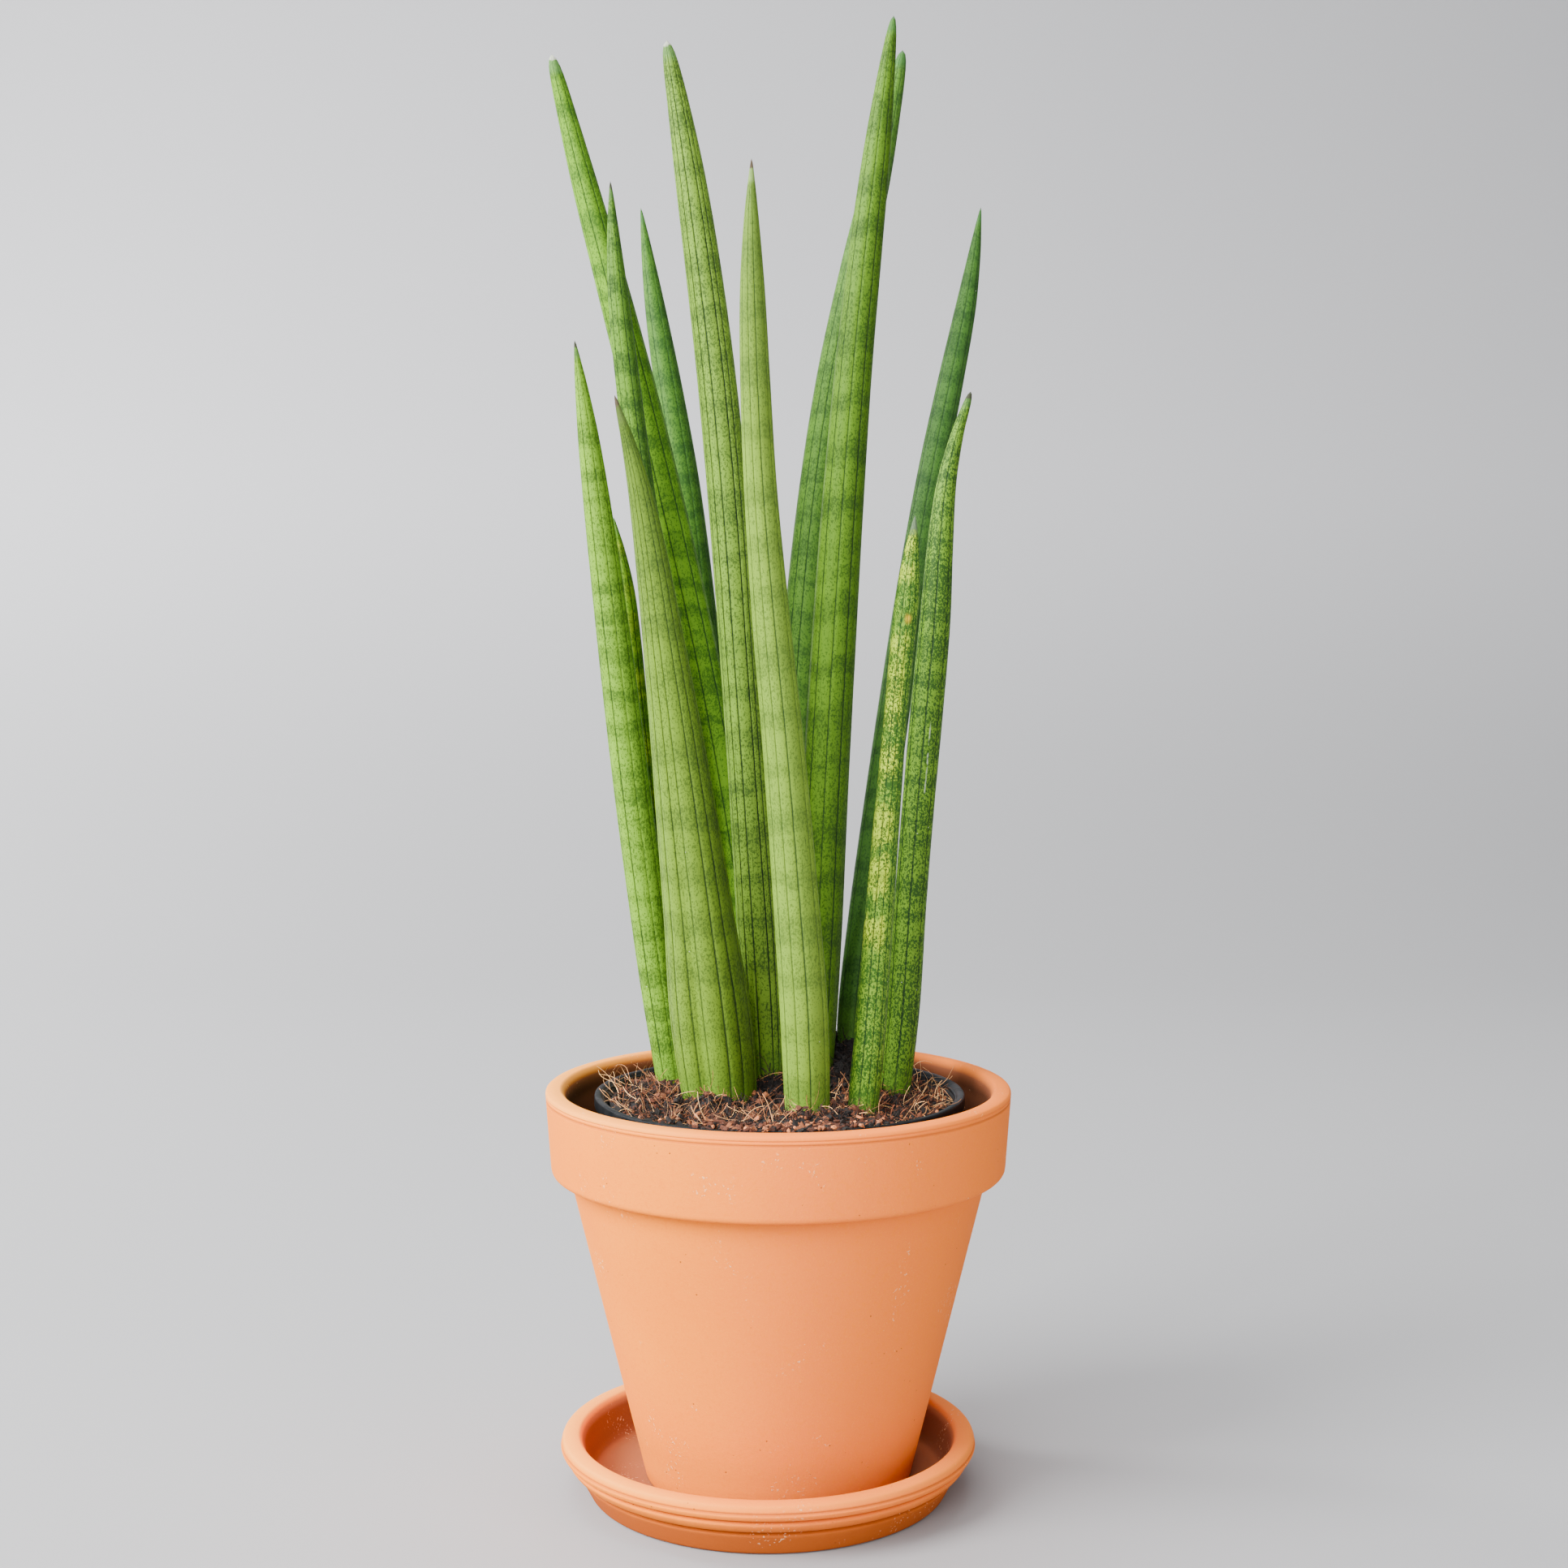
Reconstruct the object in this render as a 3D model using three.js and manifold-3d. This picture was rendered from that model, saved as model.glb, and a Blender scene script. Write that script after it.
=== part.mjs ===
// A cylindrical snake plant in its nursery pot, inside a clay pot on a clay saucer.
// Millimetres, +Z up. The origin is the centre of the saucer's foot, on the table.
import * as THREE from "three";
import { mergeVertices } from "three/addons/utils/BufferGeometryUtils.js";
import Module from "manifold-3d";

const wasm = await Module();
wasm.setup();

// ---- Driving dimensions ----

const TURNED_SIDES = 40; // facets round every turned piece
const CLEARANCE = 0.3; // between a piece and the neighbour that is shaped round it

const SAUCER_FOOT_R = 69.2;
const SAUCER_LIP_R = 81;
const SAUCER_HEIGHT = 22.7;
const SAUCER_FLOOR_Z = 5.5;

const CLAY_POT_X = 4; // the pot stands a little right of the saucer's middle
const CLAY_BASE_R = 51.5;
const CLAY_BODY_R = 80.2; // where the body meets the collar
const CLAY_COLLAR_Z = 126;
const CLAY_COLLAR_R = 87.8; // the collar's foot, narrower than its lip
const CLAY_LIP_R = 90;
const CLAY_LIP_Z = 155; // the lip's widest level
const CLAY_TOP_Z = 158.8;
const CLAY_WALL = 8;
const CLAY_FLOOR = 8;
const CLAY_DRAIN_R = 6;

const NURSERY_X = 4.6;
const NURSERY_BASE_R = 43;
const NURSERY_NECK_R = 67.3;
const NURSERY_RIM_R = 71.7;
const NURSERY_RIM_Z = 156;
const NURSERY_SKIRT = 4.5;
const NURSERY_WALL = 1.2;
const NURSERY_FLOOR = 1.5;
const NURSERY_DRAIN_R = 4.5;
const NURSERY_DRAIN_RING_R = 28;
const NURSERY_DRAINS = 6;

const MIX_LEVEL_Z = 152.5; // along the nursery pot's wall
const MIX_CRUMB = 1.1;
const MIX_RING_STEP = 7.5;

const RHIZOME_Z = 118;
const RHIZOME_R = 5;
const RHIZOME_KNOT_R = 7.5; // the swollen joint that each leaf grows from
const RHIZOME_STEP = 16;

const LEAF_RIBS = 9;
const LEAF_GROOVE = 0.07; // groove depth as a share of the leaf's radius
const LEAF_TIP_ROUNDING = 0.45; // the top ring's radius, as a share of the radius just below it
const LEAF_ROOT_PULL = 0.85; // roots lie this far out, as a share of the foot's distance

const TERRACOTTA = { color: 0xd98a58, roughness: 0.85, metalness: 0 };
const BLACK_PLASTIC = { color: 0x26272a, roughness: 0.5, metalness: 0 };
const COIR = { color: 0x6e4630, roughness: 0.95, metalness: 0 };
const RHIZOME_SKIN = { color: 0xb98a4c, roughness: 0.8, metalness: 0 };

// Heights of each leaf's foot and tip, and its axis and radius [x, y, r] at the shares of that height in
// LEAF_STATIONS. A channel is a deeper groove that the wide front leaf has down its face.
const LEAF_STATIONS = [0, 1 / 3, 2 / 3, 0.9, 1];
const LEAVES = [
  { name: "leaf_left_short", color: 0x6f9c3f, foot: 156, tip: 445,
    at: [[-38, 22, 6.8], [-51, 19, 7.5], [-62, 15, 6.5], [-70, 11, 3.7], [-74, 10, 0.4]] },
  { name: "leaf_left_tall", color: 0x5f9238, foot: 160, tip: 557,
    at: [[-2, 38, 8.2], [-21, 37, 7.6], [-50, 35, 7.4], [-74, 32, 5], [-84, 30, 2.2]] },
  { name: "leaf_left_middle", color: 0x5f9238, foot: 158, tip: 505,
    at: [[-23, 36, 7], [-33, 24, 6.8], [-49, 14, 5.3], [-58, 11, 3.7], [-60, 10, 0.4]] },
  { name: "leaf_left_back", color: 0x4f8452, foot: 160, tip: 508,
    at: [[-10, 55, 7.3], [-22, 64, 7.3], [-35, 74, 7.1], [-48, 82, 4], [-53, 85, 0.4]] },
  { name: "leaf_centre_tall", color: 0x6b9c48, foot: 163, tip: 556,
    at: [[-1, 20, 8.4], [-9, 12, 7.9], [-19, 6, 7.8], [-31, 4, 5.5], [-38, 4, 2.2]] },
  { name: "leaf_front_wide", color: 0x7da04a, foot: 155, tip: 418, channel: { angle: -1.9, depth: 0.2 },
    at: [[-19, 0, 14.9], [-28, -16, 12.8], [-38, -36, 7.9], [-47, -50, 3.8], [-54, -56, 0.4]] },
  { name: "leaf_left_small", color: 0x9db26a, foot: 157, tip: 379,
    at: [[-37, 40, 5.9], [-46, 42, 5.9], [-54, 44, 5.6], [-59, 45, 4.2], [-62, 45, 0.4]] },
  { name: "leaf_front_pale", color: 0x8fae68, foot: 154, tip: 497,
    at: [[15, -31, 8.6], [8, -44, 8.3], [-2, -58, 6.2], [-5, -71, 4], [-5, -75, 0.4]] },
  { name: "leaf_right_tall", color: 0x5f9838, foot: 166, tip: 568,
    at: [[18, 28, 8.7], [24, 23, 9.3], [33, 19, 7.6], [43, 16, 4.9], [48, 15, 1.4]] },
  { name: "leaf_right_behind", color: 0x4f8848, foot: 166, tip: 567,
    at: [[11, 54, 8.5], [12, 58, 8.9], [26, 62, 7.5], [46, 65, 5.4], [54, 65, 2.2]] },
  { name: "leaf_right_back", color: 0x437a4c, foot: 176, tip: 509,
    at: [[35, 44, 7.5], [49, 58, 7], [67, 72, 6.3], [83, 85, 4], [88, 90, 0.4]] },
  { name: "leaf_right_banded", color: 0xa9bd72, foot: 154, tip: 377,
    at: [[36, -24, 5.9], [42, -23, 5.5], [48, -21, 4.5], [53, -20, 4.1], [55, -20, 0.4]] },
  { name: "leaf_right_hooked", color: 0x5c9440, foot: 155, tip: 427,
    at: [[50, 12, 6.2], [57, 15, 6.5], [65, 19, 6.3], [71, 23, 3.5], [79, 25, 1.2]] },
];

// The creeping rhizome's runs, each through the roots of the leaves that grow from it.
const RHIZOME_RUNS = [
  ["leaf_left_short", "leaf_front_wide", "leaf_centre_tall", "leaf_right_tall", "leaf_right_hooked"],
  ["leaf_front_wide", "leaf_front_pale", "leaf_right_banded"],
  ["leaf_left_small", "leaf_left_middle", "leaf_left_tall", "leaf_right_behind", "leaf_right_back"],
  ["leaf_centre_tall", "leaf_left_tall", "leaf_left_back"],
];

// ---- Closed meshes and booleans ----

function toSolid(geometry) {
  geometry.deleteAttribute("normal");
  geometry.deleteAttribute("uv");
  const welded = mergeVertices(geometry);
  const vertProperties = new Float32Array(welded.attributes.position.array);
  const triVerts = new Uint32Array(welded.index.array);
  return new wasm.Manifold(new wasm.Mesh({ numProp: 3, vertProperties, triVerts }));
}

function toGeometry(solid) {
  const { vertProperties, triVerts } = solid.getMesh();
  const geometry = new THREE.BufferGeometry();
  geometry.setAttribute("position", new THREE.BufferAttribute(vertProperties, 3));
  geometry.setIndex(new THREE.BufferAttribute(triVerts, 1));
  return geometry;
}

// Turns an outline of [radius, height] pairs round the Z axis, given anticlockwise from its foot.
function turned(outline) {
  const points = outline.map(([radius, height]) => new THREE.Vector2(radius, height));
  const geometry = new THREE.LatheGeometry(points, TURNED_SIDES);
  return geometry.rotateX(Math.PI / 2);
}

function rod(radius, fromZ, toZ) {
  const geometry = new THREE.CylinderGeometry(radius, radius, toZ - fromZ, 16);
  return geometry.rotateX(Math.PI / 2).translate(0, 0, (fromZ + toZ) / 2);
}

// ---- The pots and the saucer ----

function saucerGeometry() {
  const lipMiddle = SAUCER_LIP_R - 4.8;
  return turned([
    [0, 0], [SAUCER_FOOT_R - 1.2, 0], [SAUCER_FOOT_R, 1.2],
    [73.6, 8.4], [72.6, 9.2], [75.6, 10.6], [78.8, 13.6], [77.6, 15.6], // lower wall, groove, ridge, groove
    [80, 16.6], [SAUCER_LIP_R, 19], [80.4, 20.9], [78.6, 22.3], // the rolled lip, from outside over the top
    [lipMiddle, SAUCER_HEIGHT], [73.8, 22], [72.2, 19.8],
    [70.8, 14], [69, 8.8], [65, SAUCER_FLOOR_Z], [0, SAUCER_FLOOR_Z],
  ]);
}

function clayPotGeometry() {
  const base = SAUCER_FLOOR_Z;
  const floor = base + CLAY_FLOOR;
  const mouthR = CLAY_LIP_R - CLAY_WALL;
  const outline = [
    [CLAY_DRAIN_R, base], [CLAY_BASE_R - 1.5, base], [CLAY_BASE_R, base + 1.5],
    [CLAY_BODY_R, CLAY_COLLAR_Z - 6], [CLAY_BODY_R + 1, CLAY_COLLAR_Z],
    [CLAY_COLLAR_R - 2.4, CLAY_COLLAR_Z], [CLAY_COLLAR_R, CLAY_COLLAR_Z + 2.6],
    [CLAY_LIP_R, CLAY_LIP_Z], [CLAY_LIP_R - 1, CLAY_TOP_Z - 1.6], [CLAY_LIP_R - 3.6, CLAY_TOP_Z],
    [mouthR + 1.6, CLAY_TOP_Z - 0.8], [mouthR, CLAY_LIP_Z - 1],
    [CLAY_BASE_R - CLAY_WALL + 4, floor + 4], [CLAY_BASE_R - CLAY_WALL, floor], [CLAY_DRAIN_R, floor],
  ];
  outline.push(outline[0]);
  return turned(outline);
}

function nurseryPotGeometry() {
  const base = SAUCER_FLOOR_Z + CLAY_FLOOR;
  const skirt = NURSERY_RIM_Z - NURSERY_SKIRT;
  const shell = toSolid(turned([
    [0, base], [NURSERY_BASE_R - 1, base], [NURSERY_BASE_R, base + 1],
    [NURSERY_NECK_R, skirt], [NURSERY_NECK_R + 0.6, NURSERY_RIM_Z - NURSERY_WALL],
    [NURSERY_RIM_R - NURSERY_WALL, NURSERY_RIM_Z - NURSERY_WALL], [NURSERY_RIM_R - NURSERY_WALL, skirt],
    [NURSERY_RIM_R, skirt], [NURSERY_RIM_R, NURSERY_RIM_Z], [NURSERY_RIM_R - 3.5, NURSERY_RIM_Z],
    [NURSERY_NECK_R - NURSERY_WALL, skirt],
    [NURSERY_BASE_R - NURSERY_WALL, base + NURSERY_FLOOR], [0, base + NURSERY_FLOOR],
  ]));
  let drained = shell;
  for (let i = 0; i < NURSERY_DRAINS; i += 1) {
    const angle = (i * 2 * Math.PI) / NURSERY_DRAINS;
    const drain = rod(NURSERY_DRAIN_R, base - 1, base + NURSERY_FLOOR + 1);
    drain.translate(NURSERY_DRAIN_RING_R * Math.cos(angle), NURSERY_DRAIN_RING_R * Math.sin(angle), 0);
    drained = drained.subtract(toSolid(drain));
  }
  return toGeometry(drained);
}

// ---- Leaves and the rhizome ----

const REACH_TO_WALL = NURSERY_NECK_R - NURSERY_WALL - CLEARANCE;

function rootOf(leaf) {
  const [x, y] = leaf.at[0];
  const towards = (value, centre) => centre + LEAF_ROOT_PULL * (value - centre);
  return new THREE.Vector3(towards(x, NURSERY_X), towards(y, 0), RHIZOME_Z);
}

// The leaf's axis and radius as a smooth function of height, from its root on the rhizome to its tip.
function leafCourse(leaf) {
  const root = rootOf(leaf);
  const rootR = Math.min(5.5, 0.6 * leaf.at[0][2] + 0.5);
  const heights = LEAF_STATIONS.map((share) => leaf.foot + share * (leaf.tip - leaf.foot));
  const values = [[root.x, root.y, rootR], ...leaf.at].flat();
  return new THREE.CubicInterpolant([RHIZOME_Z, ...heights], values, 3);
}

// A closed stack of level rings along a leaf's course; reach turns radius and angle into the ring's outline.
function stackedRings(leaf, levels, sides, reach) {
  const course = leafCourse(leaf);
  const geometry = new THREE.CylinderGeometry(1, 1, 1, sides, levels.length - 1);
  geometry.rotateX(Math.PI / 2);
  const points = geometry.attributes.position;
  for (let i = 0; i < points.count; i += 1) {
    const level = levels[Math.round((points.getZ(i) + 0.5) * (levels.length - 1))];
    const [x, y, courseR] = course.evaluate(level);
    const radius = level === leaf.tip ? LEAF_TIP_ROUNDING * courseR : courseR;
    const angle = Math.atan2(points.getY(i), points.getX(i));
    const out = Math.hypot(points.getX(i), points.getY(i)) * reach(radius, angle);
    points.setXYZ(i, x + out * Math.cos(angle), y + out * Math.sin(angle), level);
  }
  return geometry;
}

// The levels of a leaf's rings: one at its root, and the others at these shares of its height above the mix.
const LEAF_LEVELS = [0, 0.12, 0.26, 0.4, 0.54, 0.67, 0.78, 0.87, 0.94, 0.985, 1];

function leafLevels(leaf) {
  return [RHIZOME_Z, ...LEAF_LEVELS.map((share) => leaf.foot + share * (leaf.tip - leaf.foot))];
}

// Ribbed all round, and cut to a saddle at its root so that it sits on the rhizome's knot.
function leafGeometry(leaf, rhizomeRoom) {
  const channel = leaf.channel ?? { angle: 0, depth: 0 };
  const ribbed = (radius, angle) => {
    const rib = 1 - (LEAF_GROOVE / 2) * (1 - Math.cos(LEAF_RIBS * angle));
    const fold = 1 - channel.depth * Math.exp(-(((angle - channel.angle) / 0.3) ** 2));
    return radius * rib * fold;
  };
  const blade = toSolid(stackedRings(leaf, leafLevels(leaf), 2 * LEAF_RIBS, ribbed));
  return toGeometry(blade.subtract(rhizomeRoom));
}

// The plain hole that a leaf stands in, a little wider than the leaf and straight between the same levels.
function leafHole(leaf) {
  const sides = 10;
  const around = (radius) => (radius + CLEARANCE) / Math.cos(Math.PI / sides);
  return toSolid(stackedRings(leaf, leafLevels(leaf).slice(0, 3), sides, around));
}

function rhizomeSolid(extra) {
  const leafNamed = new Map(LEAVES.map((leaf) => [leaf.name, leaf]));
  const parts = LEAVES.map((leaf) => {
    const root = rootOf(leaf);
    const knot = new THREE.SphereGeometry(RHIZOME_KNOT_R + extra, 8, 4);
    return toSolid(knot.translate(root.x, root.y, root.z));
  });
  const section = new THREE.Shape().absarc(0, 0, RHIZOME_R + extra, 0, 2 * Math.PI);
  for (const run of RHIZOME_RUNS) {
    const extrudePath = new THREE.CatmullRomCurve3(run.map((name) => rootOf(leafNamed.get(name))));
    const steps = Math.round(extrudePath.getLength() / RHIZOME_STEP);
    parts.push(toSolid(new THREE.ExtrudeGeometry(section, { steps, curveSegments: 3, extrudePath })));
  }
  return parts.reduce((whole, part) => whole.add(part));
}

// ---- The potting mix ----

// Crumbly, heaped up round the middle leaves, with a clump of roots at the back right.
function mixHeight(x, y) {
  const heap = 13 * Math.exp(-((x - 10) ** 2 + (y - 38) ** 2) / (2 * 24 ** 2));
  const clump = 16 * Math.exp(-((x - 38) ** 2 + (y - 48) ** 2) / (2 * 12 ** 2));
  const crumbs = MIX_CRUMB * (Math.sin(0.55 * x + 0.3 * y) + Math.sin(0.5 * y - 0.35 * x));
  const fromWall = 1 - (Math.hypot(x - NURSERY_X, y) / REACH_TO_WALL) ** 8;
  return MIX_LEVEL_Z + Math.max(fromWall, 0) * (heap + clump + crumbs);
}

function mixGeometry(rhizomeRoom) {
  const floor = SAUCER_FLOOR_Z + CLAY_FLOOR + NURSERY_FLOOR;
  const outline = [[0, floor], [NURSERY_BASE_R - NURSERY_WALL - CLEARANCE, floor]];
  for (let radius = REACH_TO_WALL; radius > 0; radius -= MIX_RING_STEP) {
    outline.push([radius, MIX_LEVEL_Z]);
  }
  outline.push([0, MIX_LEVEL_Z]);
  const heap = turned(outline).translate(NURSERY_X, 0, 0);
  const points = heap.attributes.position;
  for (let i = 0; i < points.count; i += 1) {
    if (points.getZ(i) > floor + 1) {
      points.setZ(i, mixHeight(points.getX(i), points.getY(i)));
    }
  }
  const holed = LEAVES.reduce((solid, leaf) => solid.subtract(leafHole(leaf)), toSolid(heap));
  return toGeometry(holed.subtract(rhizomeRoom));
}

// ---- Assembly ----

function addPiece(group, name, geometry, finish) {
  const mesh = new THREE.Mesh(geometry, new THREE.MeshStandardMaterial(finish));
  mesh.name = name;
  group.add(mesh);
  return mesh;
}

const plant = new THREE.Group();
const rhizomeRoom = rhizomeSolid(CLEARANCE);

addPiece(plant, "saucer", saucerGeometry(), TERRACOTTA);
addPiece(plant, "clay_pot", clayPotGeometry(), TERRACOTTA).position.x = CLAY_POT_X;
addPiece(plant, "nursery_pot", nurseryPotGeometry(), BLACK_PLASTIC).position.x = NURSERY_X;
addPiece(plant, "potting_mix", mixGeometry(rhizomeRoom), COIR);
addPiece(plant, "rhizome", toGeometry(rhizomeSolid(0)), RHIZOME_SKIN);
for (const leaf of LEAVES) {
  addPiece(plant, leaf.name, leafGeometry(leaf, rhizomeRoom), { color: leaf.color, roughness: 0.5, metalness: 0 });
}

export default plant;
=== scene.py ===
"""A cylindrical snake plant in its nursery pot, inside a clay pot on a saucer, dressed for rendering.

Metres, +Z up. The origin is the centre of the saucer's foot. Each piece replaces or dresses a node of the
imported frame, or lies loose on one, and takes its place from it.
"""

from __future__ import annotations

import functools
import logging
import math
import random
from contextlib import contextmanager
from dataclasses import dataclass
from enum import Enum
from typing import Callable, Iterable, Iterator, Sequence

import bpy
from mathutils import Matrix, Quaternion, Vector, noise
from mathutils.bvhtree import BVHTree

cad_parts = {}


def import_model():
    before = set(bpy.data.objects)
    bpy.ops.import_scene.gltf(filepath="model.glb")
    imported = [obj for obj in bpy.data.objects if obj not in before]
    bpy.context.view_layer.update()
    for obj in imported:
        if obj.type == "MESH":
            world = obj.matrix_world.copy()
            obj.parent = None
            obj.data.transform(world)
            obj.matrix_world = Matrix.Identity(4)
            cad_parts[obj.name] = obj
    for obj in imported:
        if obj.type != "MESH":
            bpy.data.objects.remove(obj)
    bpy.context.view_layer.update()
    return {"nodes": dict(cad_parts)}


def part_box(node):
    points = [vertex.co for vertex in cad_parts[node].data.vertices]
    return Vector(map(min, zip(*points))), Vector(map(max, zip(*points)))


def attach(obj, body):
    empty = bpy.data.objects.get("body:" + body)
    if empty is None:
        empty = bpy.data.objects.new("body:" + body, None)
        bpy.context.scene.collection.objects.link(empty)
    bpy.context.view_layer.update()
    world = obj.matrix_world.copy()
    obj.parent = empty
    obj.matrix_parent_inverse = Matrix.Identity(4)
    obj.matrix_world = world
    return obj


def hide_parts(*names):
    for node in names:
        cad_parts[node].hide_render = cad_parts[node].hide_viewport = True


LOG = logging.getLogger("snake_plant")

MM = 0.001
FULL_TURN = 2 * math.pi
BODY = "root"

Colour = tuple[float, float, float, float]
Outline = list[tuple[float, float]]
Section = list[tuple[float, float, float]]


class Slot(str, Enum):
    """The record's slots that the finer pieces take."""

    TERRACOTTA = "terracotta"
    PLASTIC = "black_plastic"
    COIR = "coir_mix"
    LEAF_GREEN = "leaf_green"
    LEAF_PALE = "leaf_pale"
    LEAF_BLUE = "leaf_blue_green"
    LEAF_BANDED = "leaf_banded"


def tint(red: float, green: float, blue: float) -> Colour:
    """An opaque surface colour from its linear red, green and blue."""
    return red, green, blue, 1.0


def smooth_step(low: float, high: float, value: float) -> float:
    """Rises smoothly from 0 at low to 1 at high."""
    share = min(max((value - low) / (high - low), 0.0), 1.0)
    return share * share * (3 - 2 * share)


# ---- Shader expressions ----

# The colour sockets of a mix node, by number, because others share their names.
MIX_SHARE, MIX_FIRST, MIX_SECOND = 0, 6, 7
MIX_COLOUR = 2


class Signal:
    """A shader value that works in Python arithmetic, each operation adding its Math node."""

    def __init__(self, bench: Bench, socket: bpy.types.NodeSocket) -> None:
        """Keeps the socket and the bench that its nodes are made on."""
        self.bench = bench
        self.socket = socket

    def _math(self, operation: str, *others: Signal | float, swap: bool = False) -> Signal:
        """Adds a Math node.

        Args:
            operation: The node's operation.
            others: Its other inputs.
            swap: Whether the first of those comes before this signal.

        Returns:
            The node's value.
        """
        inputs = [self, *others]
        if swap:
            inputs[0], inputs[1] = inputs[1], inputs[0]
        values = dict(enumerate(inputs))
        return self.bench.node("ShaderNodeMath", {"operation": operation}, values)

    def __add__(self, other: Signal | float) -> Signal:
        """Sum."""
        return self._math("ADD", other)

    __radd__ = __add__

    def __sub__(self, other: Signal | float) -> Signal:
        """Difference."""
        return self._math("SUBTRACT", other)

    def __rsub__(self, other: float) -> Signal:
        """Difference from a number."""
        return self._math("SUBTRACT", other, swap=True)

    def __mul__(self, other: Signal | float) -> Signal:
        """Product."""
        return self._math("MULTIPLY", other)

    def __pow__(self, other: float) -> Signal:
        """Power."""
        return self._math("POWER", other)

    def sine(self) -> Signal:
        """Sine of the value in radians."""
        return self._math("SINE")

    def fraction(self) -> Signal:
        """What is left over from the whole number below."""
        return self._math("FRACT")

    def whole(self) -> Signal:
        """The whole number below."""
        return self._math("FLOOR")

    def size(self) -> Signal:
        """The value without its sign."""
        return self._math("ABSOLUTE")

    def least(self, other: Signal | float) -> Signal:
        """The lesser of two values."""
        return self._math("MINIMUM", other)

    def most(self, other: Signal | float) -> Signal:
        """The greater of two values."""
        return self._math("MAXIMUM", other)

    def rise(self, low: float, high: float) -> Signal:
        """Rises smoothly from 0 at low to 1 at high, or falls if high is the lesser.

        Args:
            low: Where the result is 0.
            high: Where the result is 1.

        Returns:
            The result, held between 0 and 1.
        """
        settings = {"interpolation_type": "SMOOTHSTEP"}
        ends = {"Value": self, "From Min": low, "From Max": high}
        if low > high:
            ends.update({"From Min": high, "From Max": low, "To Min": 1.0, "To Max": 0.0})
        return self.bench.node("ShaderNodeMapRange", settings, ends)


class Bench:
    """One material's node tree, with a Principled shader already in it."""

    def __init__(self, name: str) -> None:
        """Starts a material.

        Args:
            name: Its name.
        """
        self.material = bpy.data.materials.new(name)
        self.material.use_nodes = True
        self.tree = self.material.node_tree
        self.shader = self.tree.nodes["Principled BSDF"]

    def node(
        self,
        kind: str,
        settings: dict[str, object] | None = None,
        inputs: dict[int | str, object] | None = None,
        output: int | str = 0,
    ) -> Signal:
        """Adds a node.

        Args:
            kind: The node's type.
            settings: Its own settings, set first.
            inputs: Values or signals by socket index or name.
            output: The socket wanted.

        Returns:
            That output.
        """
        made = self.tree.nodes.new(kind)
        for key, value in (settings or {}).items():
            setattr(made, key, value)
        for key, value in (inputs or {}).items():
            self.feed(made.inputs[key], value)
        return Signal(self, made.outputs[output])

    def feed(self, socket: bpy.types.NodeSocket, value: object) -> None:
        """Links a signal to a socket, or sets the socket to a plain value.

        Args:
            socket: The socket.
            value: The signal or the value.
        """
        if isinstance(value, Signal):
            self.tree.links.new(value.socket, socket)
        else:
            socket.default_value = value

    def place(self) -> Signal:
        """The point on the object, in metres."""
        return self.node("ShaderNodeTexCoord", output="Object")

    def parts(self, vector: Signal) -> tuple[Signal, Signal, Signal]:
        """The three numbers of a vector."""
        split = self.node("ShaderNodeSeparateXYZ", inputs={0: vector})
        return tuple(Signal(self, socket) for socket in split.socket.node.outputs)

    def vector(self, x: object, y: object, z: object) -> Signal:
        """A vector from three values."""
        return self.node("ShaderNodeCombineXYZ", inputs={0: x, 1: y, 2: z})

    def stretched(self, vector: Signal, share: float) -> Signal:
        """A vector with its height scaled: a pattern read there is drawn out by a share under 1."""
        return self.node("ShaderNodeVectorMath", {"operation": "MULTIPLY"}, {0: vector, 1: (1.0, 1.0, share)})

    def noise(self, vector: Signal, scale: float, detail: float = 2.0, rough: float = 0.5) -> Signal:
        """Smooth noise, 0 to 1 about 0.5, by its lumps per metre, octaves and strength of the finer ones."""
        inputs = {"Vector": vector, "Scale": scale, "Detail": detail, "Roughness": rough}
        return self.node("ShaderNodeTexNoise", None, inputs)

    def cells(self, vector: Signal, scale: float) -> Signal:
        """Distance to the nearest of scattered points, 0 at a point."""
        return self.node("ShaderNodeTexVoronoi", None, {"Vector": vector, "Scale": scale})

    def chance(self, value: Signal) -> Signal:
        """A fixed random number, 0 to 1, for each whole value."""
        return self.node("ShaderNodeTexWhiteNoise", {"noise_dimensions": "1D"}, {"W": value})

    def mix(self, share: Signal | float, first: object, second: object) -> Signal:
        """The first colour blended towards the second by a share."""
        inputs = {MIX_SHARE: share, MIX_FIRST: first, MIX_SECOND: second}
        return self.node("ShaderNodeMix", {"data_type": "RGBA"}, inputs, MIX_COLOUR)

    def bump(self, height: Signal, depth: float) -> Signal:
        """A normal bent by a height of 0 to 1, where 1 stands for the depth in metres."""
        return self.node("ShaderNodeBump", None, {"Height": height, "Distance": depth, "Strength": 1.0})

    def finish(self, **sockets: object) -> bpy.types.Material:
        """Feeds the shader and ends the material.

        Args:
            sockets: What its sockets are fed, by their names with _ for spaces.

        Returns:
            The material.
        """
        for name, value in sockets.items():
            self.feed(self.shader.inputs[name.replace("_", " ")], value)
        return self.material


# ---- Finishes ----


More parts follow.
